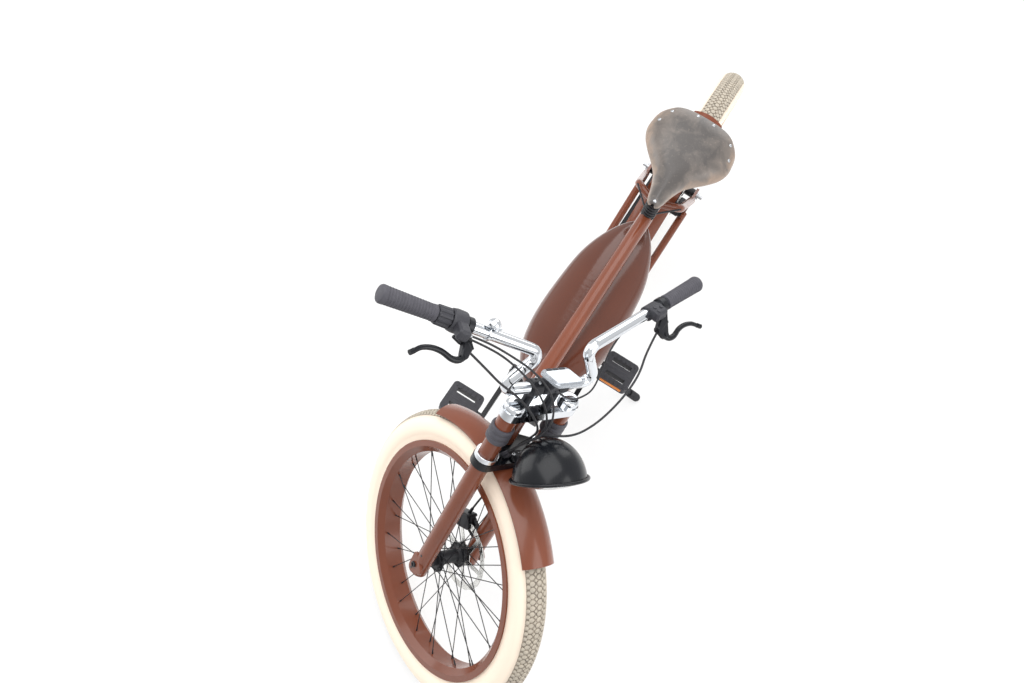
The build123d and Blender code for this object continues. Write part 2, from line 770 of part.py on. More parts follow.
# the stand's foot ball, back in the upright frame
foot_centre = (parked.inverse() * Pos(stand_foot_ground[0], stand_foot_ground[1], stand_foot_radius)).position
stand_root = Vector(*stand_pivot)
stand_down = (foot_centre - stand_root).normalized()
stand_folded = Vector(*stand_fold).normalized()
# the pin is canted, so that the foot has to swing down before it can fold and the load keeps it on its stop
across = stand_down.cross(stand_folded).normalized()
between = (stand_down + stand_folded).normalized()
stand_axis = across * cos(radians(stand_cant)) + between * sin(radians(stand_cant))
stand_travel = (stand_down - stand_axis * stand_axis.dot(stand_down)).get_angle(
    stand_folded - stand_axis * stand_axis.dot(stand_folded))


# ------------------------------------------------------------------ cranks, pedals and stand
def cranks():
    """Both arms on one spindle, the right one forwards and level."""
    def arm(side, reach):
        taper = make_hull((Circle(17) + Pos(reach, 0) * Circle(14)).edges())
        taper -= Pos(reach, 0) * Circle(pedal_spindle_radius + bearing_clearance)
        return Pos(*(bottom_bracket[0], 0, bottom_bracket[1])) * sidePlate(taper, side * crank_y, crank_thick)
    spindle = sideRing(crank_spindle_radius, 0, 0, 2 * crank_y, bottom_bracket)
    return spindle + arm(-1, crank_length) + arm(1, -crank_length)


def pedal(side):
    """A platform pedal with its two treads either side of the spindle barrel."""
    centre = (bottom_bracket[0] - side * crank_length, bottom_bracket[1])
    barrel = sideRing(13, pedal_spindle_radius + bearing_clearance, 0, 2 * pedal_half_width - 4, (0, 0))
    frame = Box(pedal_length, 2 * pedal_half_width, pedal_thick)
    frame = fillet(frame.edges().filter_by(Axis.Z), 12)
    for end in (-1, 1):
        frame -= Pos(end * pedal_length / 4, 0, 0) * Box(pedal_length / 2 - 32, 2 * pedal_half_width - 36, pedal_thick)
    frame -= sideRing(pedal_spindle_radius + bearing_clearance, 0, 0, 3 * pedal_half_width, (0, 0))
    return Pos(centre[0], side * pedal_y, centre[1]) * (frame + barrel)


def pedalSpindle(side):
    centre = (bottom_bracket[0] - side * crank_length, bottom_bracket[1])
    inner = crank_y - crank_thick / 2
    outer = pedal_y + pedal_half_width - 6
    return sideRing(pedal_spindle_radius, 0, side * (inner + outer) / 2, outer - inner, centre)


def alongPin(distance):
    return stand_root + stand_axis * distance


def standLeg():
    eye = rod(alongPin(-stand_eye / 2), alongPin(stand_eye / 2), 2 * pivot_pin_radius + 2)
    leg = rod(stand_root, foot_centre, stand_radius)
    leg -= rod(alongPin(-2 * stand_eye), alongPin(-stand_eye / 2), 2 * stand_eye)
    bore = rod(alongPin(-2 * stand_eye), alongPin(2 * stand_eye), pivot_pin_radius + bearing_clearance)
    return leg + eye - bore


def standFoot():
    """The rubber boot over the end of the leg, round where it meets the ground."""
    along = (foot_centre - stand_root).normalized()
    boot = rod(foot_centre - along * 30, foot_centre, stand_foot_radius) + Pos(foot_centre) * Sphere(stand_foot_radius)
    return boot - standLeg()


def standBracket():
    """The lug below the left chain stay that carries the stand's pin."""
    face = stand_eye / 2 + stand_gap
    pin = rod(alongPin(-face), alongPin(stand_eye / 2 + 3), pivot_pin_radius)
    boss = rod(alongPin(-face - stand_boss), alongPin(-face), 2 * pivot_pin_radius + 2)
    web = rod(alongPin(-face - stand_boss / 2), (604, 47, 272), stand_web_radius)
    return pin + boss + web - chainStay()


# ------------------------------------------------------------------ assembly
parts = {}


def add(name, body, shape):
    parts[name] = (body, shape)


rear_centre = rear_axle
for end, centre, flange in (("front", front_axle, front_flange_radius), ("rear", rear_axle, rear_flange_radius)):
    body = end + "_wheel"
    add(end + "_tyre", body, wheelTurned(tyre(), centre))
    add(end + "_rim", body, wheelTurned(rim(), centre))
    add(end + "_spokes", body, spokes(centre, flange))
    add(end + "_disc", body, brakeDisc(centre, disc_y))
front_hub_half = leg_half_gap - leg_radius - 0.5
add("front_hub", "front_wheel", wheelTurned(hub(17, front_flange_radius, front_hub_half, 36), front_axle))
rear_hub_half = dropout_y - dropout_thick / 2 - 0.5
add("rear_hub", "rear_wheel", wheelTurned(hub(50, rear_flange_radius, rear_hub_half, 47), rear_axle))
add("rear_sprocket", "rear_wheel", sprocket(rear_axle, rear_teeth, rear_pitch_radius, rear_phase, 20, 0))

add("front_axle", "fork", sideRing(axle_radius, 0, 0, 2 * (leg_half_gap + leg_radius + 2), front_axle))
add("fork_legs", "fork", forkLegs())
add("lower_crown", "fork", crown(lower_crown_height, crown_margin))
add("upper_crown", "fork", crown(upper_crown_height, crown_margin - 3))
add("steerer", "fork", steerer())
add("leg_caps", "fork", legCaps())
add("leg_bands", "fork", legBands())
add("leg_rings", "fork", legRings())
add("handlebar", "fork", handlebar())
add("bar_clamps", "fork", barClamps())
add("left_grip", "fork", onGrip(leftGrip(), grip_length, 1))
add("right_grip", "fork", onGrip(rightGrip(), grip_length, -1))
add("twist_shifter", "fork", onGrip(twistShifter(), grip_length + 66, -1))
add("front_mudguard", "fork", mudguard(front_axle, front_guard_from, front_guard_to))

add("head_tube", "frame", headTube())
add("top_tube", "frame", topTube())
add("down_tube", "frame", downTube())
add("strut_tube", "frame", strut())
add("seat_mast", "frame", mast())
add("motor_cradle", "frame", cradle())
add("motor", "frame", motor())
add("chain_stays", "frame", chainStays())
add("seat_stays", "frame", seatStays())
add("dropouts", "frame", dropouts())
add("rear_axle", "frame", rearAxle())
add("rear_mudguard", "frame", mudguard(rear_axle, rear_guard_from, rear_guard_to))
add("tank", "frame", tank() - rod(top_tube_seat, top_tube_head, top_tube_radius))
add("belt", "frame", belt())
post, collar = saddlePost()
add("seatpost", "frame", post)
add("seat_collar", "frame", collar)
add("nose_springs", "frame", noseSpring())
add("rear_springs", "frame", rearSprings())
add("saddle_rails", "frame", saddleRails())
add("saddle_wires", "frame", saddleWires())
add("saddle_leather", "frame", saddleLeather())

add("cranks", "crank", cranks() + pedalSpindle(-1) + pedalSpindle(1))
add("front_sprocket", "crank", sprocket(bottom_bracket, front_teeth, front_pitch_radius, front_phase,
                                        crank_spindle_radius, 5))
add("left_pedal", "pedal_left", pedal(1))
add("right_pedal", "pedal_right", pedal(-1))
add("stand_bracket", "frame", standBracket())
add("stand_leg", "side_stand", standLeg())
add("stand_foot", "side_stand", standFoot())

# ------------------------------------------------------------------ place and write
places = {name: parked for name in ("frame", "rear_wheel", "crank", "pedal_left", "pedal_right", "side_stand")}
places["fork"] = places["front_wheel"] = parked * steering
placed = {name: places[body] * shape for name, (body, shape) in parts.items()}
box = Compound(list(placed.values())).bounding_box()
shift = Pos(-(box.min.X + box.max.X) / 2, -(box.min.Y + box.max.Y) / 2, 0)
print("size", box.size, "shift", shift.position, "low", box.min.Z)

os.makedirs("parts", exist_ok=True)
for name, shape in placed.items():
    export_step(shift * shape, "parts/" + name + ".step")


def report(name, place, at, along):
    """Print a joint's or mount's place and direction as they come to lie in the parked bike."""
    start = (shift * place * Pos(*at)).position
    end = (shift * place * Pos(*(Vector(*at) + Vector(*along)))).position
    print(name, *[round(v, 4) for v in (*start, *(end - start))])


report("steering", parked, tuple(fork_base + steer_dir * 450), tuple(steer_dir))
report("front_wheel_spin", parked * steering, (wheelbase, 0, tyre_radius), (0, 1, 0))
report("rear_wheel_spin", parked, (0, 0, tyre_radius), (0, 1, 0))
report("crank_spin", parked, (bottom_bracket[0], 0, bottom_bracket[1]), (0, 1, 0))
for side, name in ((1, "left"), (-1, "right")):
    report(name + "_pedal_spin", parked, (bottom_bracket[0] - side * crank_length, side * pedal_y, bottom_bracket[1]),
           (0, 1, 0))
report("stand_swing", parked, stand_pivot, tuple(stand_axis))
print("stand_travel", round(stand_travel, 2))
for side, name in ((1, "left"), (-1, "right")):
    report("rear_axle_" + name, parked, (0, side * (stub_start + axle_stub_length / 2), tyre_radius), (0, side, 0))
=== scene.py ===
import bmesh
import bpy
import json
import math
from mathutils import Matrix, Vector

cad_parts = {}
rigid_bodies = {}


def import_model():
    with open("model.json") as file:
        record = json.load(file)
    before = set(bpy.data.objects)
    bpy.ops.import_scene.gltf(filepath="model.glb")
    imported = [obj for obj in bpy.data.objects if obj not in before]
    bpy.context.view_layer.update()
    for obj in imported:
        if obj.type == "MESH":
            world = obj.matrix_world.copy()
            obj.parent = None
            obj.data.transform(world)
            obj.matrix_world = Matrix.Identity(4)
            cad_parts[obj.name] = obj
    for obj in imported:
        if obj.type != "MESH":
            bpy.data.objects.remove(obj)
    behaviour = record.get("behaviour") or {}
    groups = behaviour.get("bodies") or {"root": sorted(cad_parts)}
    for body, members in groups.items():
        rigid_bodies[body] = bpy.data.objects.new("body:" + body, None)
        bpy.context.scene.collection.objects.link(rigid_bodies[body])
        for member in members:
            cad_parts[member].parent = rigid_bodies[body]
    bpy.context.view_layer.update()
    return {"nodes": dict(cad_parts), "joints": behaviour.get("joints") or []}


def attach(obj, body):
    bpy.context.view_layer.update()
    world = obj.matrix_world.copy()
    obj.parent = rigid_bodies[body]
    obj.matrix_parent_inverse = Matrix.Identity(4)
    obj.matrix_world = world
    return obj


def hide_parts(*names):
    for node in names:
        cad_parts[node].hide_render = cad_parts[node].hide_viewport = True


for leftover in list(bpy.data.objects):
    bpy.data.objects.remove(leftover)
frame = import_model()
nodes = frame["nodes"]
joints = {joint["name"]: joint for joint in frame["joints"]}

# Sizes below are in millimetres and become metres where a mesh is made.
mm = 0.001

# The upright bike: x forwards, y to the rider's left, z up from the ground below the rear axle.
bike = {"wheelRadius": 360, "crankX": 796, "crankZ": 300, "rake": 37.7, "steeringMark": 450}


def directions(origin, forward, left):
    # matrix of a frame with the given origin, x and y
    up = forward.cross(left).normalized()
    forward = left.cross(up).normalized()
    return Matrix.Translation(origin) @ Matrix((forward, left.normalized(), up)).transposed().to_4x4()


def jointLine(name):
    return Vector(joints[name]["pos_m"]), Vector(joints[name]["axis"]).normalized()


rearCentre, leftDir = jointLine("rear_wheel_spin")
crankCentre, _ = jointLine("crank_spin")
toCrank = crankCentre - rearCentre
toCrank = (toCrank - leftDir * toCrank.dot(leftDir)).normalized()
slope = math.atan2(bike["crankZ"] - bike["wheelRadius"], bike["crankX"])
forwardDir = toCrank * math.cos(slope) - toCrank.cross(leftDir) * math.sin(slope)
upDir = forwardDir.cross(leftDir)
bikePlace = directions(rearCentre - upDir * bike["wheelRadius"] * mm, forwardDir, leftDir)

frontCentre, forkLeft = jointLine("front_wheel_spin")
steerMark, steerUp = jointLine("steering")
forkPlace = directions(steerMark - steerUp * bike["steeringMark"] * mm, forkLeft.cross(steerUp), forkLeft)


def wheelPlace(centre, left):
    # a wheel's own frame: y along its axle, z up the bike
    forward = left.cross(upDir if left is leftDir else steerUp)
    return directions(centre, forward, left)


wheels = {
    "front": {"place": wheelPlace(frontCentre, forkLeft), "body": "front_wheel", "flange": 31},
    "rear": {"place": wheelPlace(rearCentre, leftDir), "body": "rear_wheel", "flange": 58},
}


# small helpers
def linear(hexColour):
    # sRGB hex to Blender's linear colour
    parts = [int(hexColour[i:i + 2], 16) / 255 for i in (1, 3, 5)]
    return [c / 12.92 if c <= 0.04045 else ((c + 0.055) / 1.055) ** 2.4 for c in parts] + [1.0]


def setInputs(tree, node, inputs):
    # sets or links a node's inputs by name or number
    for key, value in inputs.items():
        if isinstance(value, bpy.types.NodeSocket):
            tree.links.new(value, node.inputs[key])
        else:
            node.inputs[key].default_value = value


def addNode(tree, kind, inputs=None, **settings):
    # adds a node with its settings, then its inputs
    node = tree.nodes.new(kind)
    for key, value in settings.items():
        setattr(node, key, value)
    setInputs(tree, node, inputs or {})
    return node


def linked(name, data):
    # an object for a mesh, curve, lamp or camera, put in the scene
    item = bpy.data.objects.new(name, data)
    bpy.context.scene.collection.objects.link(item)
    return item


def shift(x, y, z):
    return Matrix.Translation((x, y, z))


def rotation(degrees, axis):
    return Matrix.Rotation(math.radians(degrees), 4, axis)


def aimed(origin, along, towards=(0, 0, 1)):
    # a frame at the origin with its y axis along a direction, and x as near as it can be to another
    y = Vector(along).normalized()
    x = Vector(towards)
    x = x - y * x.dot(y)
    if x.length < 1e-6:
        x = Vector((1, 0, 0)) - y * y.x
    x.normalize()
    return Matrix.Translation(Vector(origin)) @ Matrix((x, y, x.cross(y))).transposed().to_4x4()


def moved(shape, place):
    vertices, faces = shape
    return [place @ Vector(v) for v in vertices], faces


def joined(*shapes):
    vertices, faces = [], []
    for moreVertices, moreFaces in shapes:
        start = len(vertices)
        vertices += list(moreVertices)
        faces += [tuple(start + index for index in face) for face in moreFaces]
    return vertices, faces


def arc(radius, degrees, x=0.0, y=0.0, high=None):
    # points of a circle at the given angles, or of an ellipse where it has a height of its own
    high = radius if high is None else high
    return [(x + radius * math.cos(math.radians(a)), y + high * math.sin(math.radians(a))) for a in degrees]


def turned(profile, steps):
    # a closed profile of (radius, along) turned about the y axis
    vertices, faces = [], []
    count = len(profile)
    for step in range(steps):
        angle = 2 * math.pi * step / steps
        vertices += [(r * math.cos(angle), along, r * math.sin(angle)) for r, along in profile]
        here, following = step * count, (step + 1) % steps * count
        for k in range(count):
            nextK = (k + 1) % count
            faces.append((here + k, here + nextK, following + nextK, following + k))
    return vertices, faces


def loop(rings, capped=True):
    # skins a row of rings of equal counts, with a face over each end
    count = len(rings[0])
    vertices = [v for ring in rings for v in ring]
    faces = []
    for here in range(0, (len(rings) - 1) * count, count):
        following = here + count
        for k in range(count):
            nextK = (k + 1) % count
            faces.append((here + k, here + nextK, following + nextK, following + k))
    if capped:
        faces.append(tuple(reversed(range(count))))
        faces.append(tuple(range((len(rings) - 1) * count, len(rings) * count)))
    return vertices, faces


def between(a, b, c, d, t):
    # a smooth step from b at t = 0 to c at t = 1, with a and d as their outer neighbours
    return 0.5 * (2 * b + (c - a) * t + (2 * a - 5 * b + 4 * c - d) * t ** 2
                  + (3 * b - a - 3 * c + d) * t ** 3)


def smoothPath(points, steps):
    # a path that passes through the points, with a few points between each two
    points = [Vector(p) for p in points]
    ends = [2 * points[0] - points[1]] + points + [2 * points[-1] - points[-2]]
    path = []
    for a, b, c, d in zip(ends, ends[1:], ends[2:], ends[3:]):
        path += [between(a, b, c, d, step / steps) for step in range(steps)]
    return path + [points[-1]]


def bar(points, radius, sides=12, steps=5, flat=1.0, towards=(0, 0, 1)):
    # a round or oval bar along a smooth path, its radius one value or one for each end
    path = smoothPath(points, steps) if len(points) > 2 else [Vector(p) for p in points]
    first, last = radius if isinstance(radius, tuple) else (radius, radius)
    rings = []
    side = Vector(towards)
    for index, centre in enumerate(path):
        ahead = path[min(index + 1, len(path) - 1)] - path[max(index - 1, 0)]
        ahead.normalize()
        side = side - ahead * side.dot(ahead)
        if side.length < 1e-4:
            side = Vector((1, 0, 0)) - ahead * ahead.x
        side.normalize()
        other = ahead.cross(side)
        size = first + (last - first) * index / (len(path) - 1)
        rings.append([centre + side * (size * math.cos(2 * math.pi * k / sides))
                      + other * (size * flat * math.sin(2 * math.pi * k / sides)) for k in range(sides)])
    return loop(rings)


def hull(circles, steps=16):
    # outline round a few circles of (x, z, radius)
    cloud = sorted((x + r * math.cos(2 * math.pi * k / steps), z + r * math.sin(2 * math.pi * k / steps))
                   for x, z, r in circles for k in range(steps))

    def half(points):
        chain = []
        for p in points:
            while len(chain) > 1 and ((chain[-1][0] - chain[-2][0]) * (p[1] - chain[-2][1])
                                      - (chain[-1][1] - chain[-2][1]) * (p[0] - chain[-2][0])) <= 1e-9:
                chain.pop()
            chain.append(p)
        return chain[:-1]
    return half(cloud) + half(cloud[::-1])


def rounded(width, height, radius, x=0.0, z=0.0):
    # outline of a rectangle with round corners
    a, b = width / 2 - radius, height / 2 - radius
    return hull([(x + i * a, z + j * b, radius) for i in (-1, 1) for j in (-1, 1)], 20)


def plate(outline, thick, edge=1.0, y=0.0):
    # a convex outline in x and z made a plate about y, with its edges eased
    count = len(outline)
    inset = []
    for k in range(count):
        (x0, z0), (x1, z1), (x2, z2) = outline[k - 1], outline[k], outline[(k + 1) % count]
        out = Vector((z2 - z0, x0 - x2)).normalized()
        inset.append((x1 - out.x * edge, z1 - out.y * edge))
    rings = [[(x, y - thick / 2, z) for x, z in inset], [(x, y - thick / 2 + edge, z) for x, z in outline],
             [(x, y + thick / 2 - edge, z) for x, z in outline], [(x, y + thick / 2, z) for x, z in inset]]
    return loop(rings)


def collar(outer, inner, start, end):
    # a ring about the y axis with eased corners
    edge = 0.8
    return turned([(inner, start), (outer - edge, start), (outer, start + edge), (outer, end - edge),
                   (outer - edge, end), (inner, end)], 40)


def cleaned(mesh, merge=True):
    # merges doubles and turns the faces outwards
    work = bmesh.new()
    work.from_mesh(mesh)
    if merge:
        bmesh.ops.remove_doubles(work, verts=work.verts, dist=0.002 * mm)
    bmesh.ops.recalc_face_normals(work, faces=work.faces)
    work.to_mesh(mesh)
    work.free()


def newMesh(name, shape, place, merge=True):
    vertices, faces = shape
    mesh = bpy.data.meshes.new(name)
    mesh.from_pydata([Vector(v) * mm for v in vertices], [], faces)
    cleaned(mesh, merge)
    mesh.transform(place)
    return mesh


def shaded(mesh, angle=38):
    mesh.polygons.foreach_set("use_smooth", [True] * len(mesh.polygons))
    mesh.set_sharp_from_angle(angle=math.radians(angle))
    mesh.update()


def newPiece(name, shape, finish, body, place, merge=True, angle=38):
    # a mesh drawn in millimetres in the given frame, riding on a body
    mesh = newMesh(name, shape, place, merge)
    shaded(mesh, angle)
    mesh.materials.append(materials[finish])
    piece = linked(name, mesh)
    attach(piece, body)
    return piece


# Geometry Nodes for what repeats
def startTree(name, sockets):
    tree = bpy.data.node_groups.new(name, "GeometryNodeTree")
    for label, kind in sockets + [("Finish", "NodeSocketMaterial")]:
        tree.interface.new_socket(name=label, in_out="INPUT", socket_type=kind)
    tree.interface.new_socket(name="Geometry", in_out="OUTPUT", socket_type="NodeSocketGeometry")
    return tree, addNode(tree, "NodeGroupInput").outputs


def endTree(tree, given, geometry):
    solid = addNode(tree, "GeometryNodeRealizeInstances", {"Geometry": geometry})
    coated = addNode(tree, "GeometryNodeSetMaterial", {
        "Geometry": solid.outputs[0], "Material": given["Finish"]})
    addNode(tree, "NodeGroupOutput", {"Geometry": coated.outputs[0]})
    return tree


def aroundAxleTree():
    # copies of one pattern, evenly round the y axis
    tree, given = startTree("aroundAxle", [("Pattern", "NodeSocketObject"), ("Count", "NodeSocketInt")])
    points = addNode(tree, "GeometryNodePoints", {"Count": given["Count"]})
    index = addNode(tree, "GeometryNodeInputIndex")
    share = addNode(tree, "ShaderNodeMath", {0: index.outputs[0], 1: given["Count"]}, operation="DIVIDE")
    angle = addNode(tree, "ShaderNodeMath", {0: share.outputs[0], 1: 2 * math.pi}, operation="MULTIPLY")
    turn = addNode(tree, "ShaderNodeCombineXYZ", {"Y": angle.outputs[0]})
    pattern = addNode(tree, "GeometryNodeObjectInfo", {"Object": given["Pattern"]})
    spread = addNode(tree, "GeometryNodeInstanceOnPoints", {
        "Points": points.outputs[0], "Instance": pattern.outputs["Geometry"], "Rotation": turn.outputs[0]})
    return endTree(tree, given, spread.outputs[0])


def atSpotsTree():
    # one pattern on each spot of a seed mesh, its z axis along the spot's own aim
    tree, given = startTree("atSpots", [("Spots", "NodeSocketGeometry"), ("Pattern", "NodeSocketObject")])
    aim = addNode(tree, "GeometryNodeInputNamedAttribute", {"Name": "aim"}, data_type="FLOAT_VECTOR")
    turn = addNode(tree, "FunctionNodeAlignRotationToVector", {"Vector": aim.outputs[0]}, axis="Z")
    pattern = addNode(tree, "GeometryNodeObjectInfo", {"Object": given["Pattern"]})
    spread = addNode(tree, "GeometryNodeInstanceOnPoints", {
        "Points": given["Spots"], "Instance": pattern.outputs["Geometry"], "Rotation": turn.outputs[0]})
    return endTree(tree, given, spread.outputs[0])


def springTree():
    # round wire wound about the z axis
    sockets = [(label, "NodeSocketFloat") for label in ("Coil radius", "Wire radius", "Height", "Turns")]
    tree, given = startTree("coilSpring", sockets)
    line = addNode(tree, "GeometryNodeCurveSpiral", {
        "Resolution": 22, "Rotations": given["Turns"], "Start Radius": given["Coil radius"],
        "End Radius": given["Coil radius"], "Height": given["Height"]})
    ring = addNode(tree, "GeometryNodeCurvePrimitiveCircle", {
        "Resolution": 10, "Radius": given["Wire radius"]})
    wire = addNode(tree, "GeometryNodeCurveToMesh", {
        "Curve": line.outputs[0], "Profile Curve": ring.outputs[0], "Fill Caps": True})
    return endTree(tree, given, wire.outputs[0])


def grown(name, tree, values, finish, body, place, spots=(), angle=38):
    # runs a tree once and keeps its result as a plain mesh on a body
    values = dict(values, Finish=materials[finish])
    seed = bpy.data.meshes.new(name + "Seed")
    if spots:
        seed.from_pydata([Vector(at) * mm for at, aim in spots], [], [])
        aims = seed.attributes.new("aim", "FLOAT_VECTOR", "POINT")
        for index, (at, aim) in enumerate(spots):
            aims.data[index].vector = Vector(aim).normalized()
    holder = linked(name + "Seed", seed)
    helpers = [holder]
    if "Pattern" in values:
        pattern = newMesh(name + "Pattern", values["Pattern"], Matrix.Identity(4))
        values["Pattern"] = linked(name + "Pattern", pattern)
        helpers.append(values["Pattern"])
    modifier = holder.modifiers.new("grow", "NODES")
    modifier.node_group = tree
    sockets = {item.name: item.identifier for item in tree.interface.items_tree if item.in_out == "INPUT"}
    for label, value in values.items():
        modifier[sockets[label]] = value
    graph = bpy.context.evaluated_depsgraph_get()
    mesh = bpy.data.meshes.new_from_object(holder.evaluated_get(graph), depsgraph=graph)
    holder.modifiers.remove(modifier)
    for helper in helpers:
        bpy.data.objects.remove(helper)
    mesh.name = name
    mesh.transform(place)
    shaded(mesh, angle)
    piece = linked(name, mesh)
    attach(piece, body)
    return piece


aroundAxle, atSpots, coilSpring = aroundAxleTree(), atSpotsTree(), springTree()


# materials: two close shades in patches, roughness from one to the other, and a grain; sizes in millimetres
finishes = {
    # powder-coated steel tube under lacquer: even red-brown, a soft ripple and broad highlights
    "brownPowderCoat": dict(base="#76402C", second="#6B3926", patch=60, rough=(0.18, 0.28), grain=2.2,
                            depth=0.03, coat=0.15, coatRough=0.06),
    # moulded ABS, sprayed and lacquered: deeper brown and sharper highlights than the frame
    "tankLacquer": dict(base="#593022", second="#4E291D", patch=90, rough=(0.12, 0.18), grain=3.5,
                        depth=0.02, coat=0.12, coatRough=0.04),
    # vulcanised natural rubber: matt cream, a little yellowed
    "creamRubber": dict(base="#F3E2C4", second="#E8D3B0", patch=25, rough=(0.62, 0.75), grain=1.2,
                        depth=0.06),
    # the same rubber on the tread's pads, greyed by road dust
    "treadRubber": dict(base="#BDB3A2", second="#979086", patch=12, rough=(0.7, 0.85), grain=1.0, depth=0.1),
    # extruded hose and moulded belt rubber: near black with a dull sheen
    "blackRubber": dict(base="#2A2A2D", second="#1F1F22", patch=15, rough=(0.5, 0.65), grain=0.9, depth=0.06),
    # moulded thermoplastic rubber of the grips: dark grey and dry, with hardly a highlight
    "greyGripRubber": dict(base="#4E4D53", second="#403F45", patch=10, rough=(0.6, 0.75), grain=0.8,
                           depth=0.12),
    # e-coated steel: satin black with a fine texture
    "blackCoatedSteel": dict(base="#26272B", second="#1C1D20", patch=12, rough=(0.35, 0.5), grain=1.0,
                             depth=0.05),
    # baked enamel on spun steel: deep black, smooth, with one clear highlight
    "blackGlossEnamel": dict(base="#101217", second="#0C0E12", patch=40, rough=(0.24, 0.3), grain=4.0,
                             depth=0.01, coat=0.1, coatRough=0.08, shine=0.22),
    # blasted and anodised aluminium: black with a faint metal sheen
    "blackAnodised": dict(base="#232428", second="#1B1C20", patch=8, rough=(0.3, 0.42), grain=0.7, depth=0.04,
                          metal=0.35),
    # moulded glass-filled nylon: charcoal with a matt, pebbled skin
    "mouldedNylon": dict(base="#37373C", second="#2E2E33", patch=9, rough=(0.45, 0.6), grain=0.7, depth=0.08),
    # textured paint on cast aluminium: matt black, coarser than the nylon
    "motorPaint": dict(base="#2B2C30", second="#222327", patch=14, rough=(0.5, 0.62), grain=0.8, depth=0.12),
    # moulded acrylic: bright orange, uneven below and glossy on top
    "amberReflector": dict(base="#E88A1E", second="#D9760F", patch=3, rough=(0.12, 0.2), grain=2.0,
                           depth=0.25, coat=0.4, coatRough=0.05),
    # zinc-plated steel: pale grey metal, slightly cloudy
    "zincSteel": dict(base="#B4B6B9", second="#9EA1A5", patch=6, rough=(0.28, 0.4), grain=0.9, depth=0.05,
                      metal=1.0),
    # silver paint on moulded plastic: satin with a soft sparkle
    "silverPaint": dict(base="#A4A8AE", second="#969AA0", patch=8, rough=(0.22, 0.32), grain=0.6, depth=0.04,
                        metal=0.6),
    # glass over a pale panel: nearly white, with clear reflections
    "paleScreen": dict(base="#E9EEF1", second="#DCE3E7", patch=30, rough=(0.06, 0.1), grain=3.0, depth=0.01,
                       coat=0.8, coatRough=0.03),
    # moulded rubber bands and glands: dusty dark grey
    "greyRubber": dict(base="#4C4B52", second="#403F45", patch=14, rough=(0.5, 0.65), grain=1.1, depth=0.08),
}


def startMaterial(name):
    material = bpy.data.materials.new(name)
    material.use_nodes = True
    tree = material.node_tree
    shader = tree.nodes["Principled BSDF"]
    place = addNode(tree, "ShaderNodeTexCoord").outputs["Object"]
    return material, tree, shader, place


def finishMaterial(name, base, second, patch, rough, grain, depth,
                   metal=0.0, coat=0.0, coatRough=0.1, shine=0.3):
    material, tree, shader, place = startMaterial(name)
    cloud = addNode(tree, "ShaderNodeTexNoise", {"Vector": place, "Scale": 1 / (patch * mm), "Detail": 4.0})
    tint = addNode(tree, "ShaderNodeMix", {0: cloud.outputs["Fac"], 6: linear(base), 7: linear(second)},
                   data_type="RGBA")
    gloss = addNode(tree, "ShaderNodeMapRange", {
        "Value": cloud.outputs["Fac"], "To Min": rough[0], "To Max": rough[1]})
    fine = addNode(tree, "ShaderNodeTexNoise", {"Vector": place, "Scale": 1 / (grain * mm), "Detail": 2.0})
    bump = addNode(tree, "ShaderNodeBump", {"Height": fine.outputs["Fac"], "Strength": depth,
                                            "Distance": 0.001})
    setInputs(tree, shader, {
        "Base Color": tint.outputs[2], "Roughness": gloss.outputs["Result"], "Normal": bump.outputs["Normal"],
        "Metallic": metal, "Specular IOR Level": shine, "Coat Weight": coat, "Coat Roughness": coatRough})
    return material


def chromeMaterial():
    # bright chrome plate: a mirror with faint wiping marks in its roughness
    material, tree, shader, place = startMaterial("chromePlate")
    haze = addNode(tree, "ShaderNodeTexNoise", {"Vector": place, "Scale": 1 / (18 * mm), "Detail": 6.0})
    gloss = addNode(tree, "ShaderNodeMapRange", {"Value": haze.outputs["Fac"], "To Min": 0.03,
                                                 "To Max": 0.14})
    setInputs(tree, shader, {
        "Base Color": linear("#C9CCD0"), "Metallic": 1.0, "Roughness": gloss.outputs["Result"]})
    return material


def tyreMaterial():
    # vulcanised cream rubber with road dust where the tread is, and painted shade that darkens the grooves
    # between the pads
    material, tree, shader, place = startMaterial("creamTyreRubber")
    dustAndShadeInput = addNode(tree, "ShaderNodeAttribute", attribute_name="dustAndShade")
    cloud = addNode(tree, "ShaderNodeTexNoise", {"Vector": place, "Scale": 1 / (14 * mm), "Detail": 5.0})
    uneven = addNode(tree, "ShaderNodeMapRange", {"Value": cloud.outputs["Fac"], "To Min": 0.55,
                                                  "To Max": 1.1})
    share = addNode(tree, "ShaderNodeMath", {0: dustAndShadeInput.outputs["Fac"], 1: uneven.outputs["Result"]},
                    operation="MULTIPLY")
    # 5E574F is the groove colour: road dust together with painted shade between the pads
    tint = addNode(tree, "ShaderNodeMix", {0: share.outputs[0], 6: linear("#F3E2CF"), 7: linear("#5E574F")},
                   data_type="RGBA")
    fine = addNode(tree, "ShaderNodeTexNoise", {"Vector": place, "Scale": 1 / (1.2 * mm), "Detail": 2.0})
    bump = addNode(tree, "ShaderNodeBump", {"Height": fine.outputs["Fac"], "Strength": 0.08,
                                            "Distance": 0.001})
    setInputs(tree, shader, {
        "Base Color": tint.outputs[2], "Normal": bump.outputs["Normal"], "Roughness": 0.68})
    return material


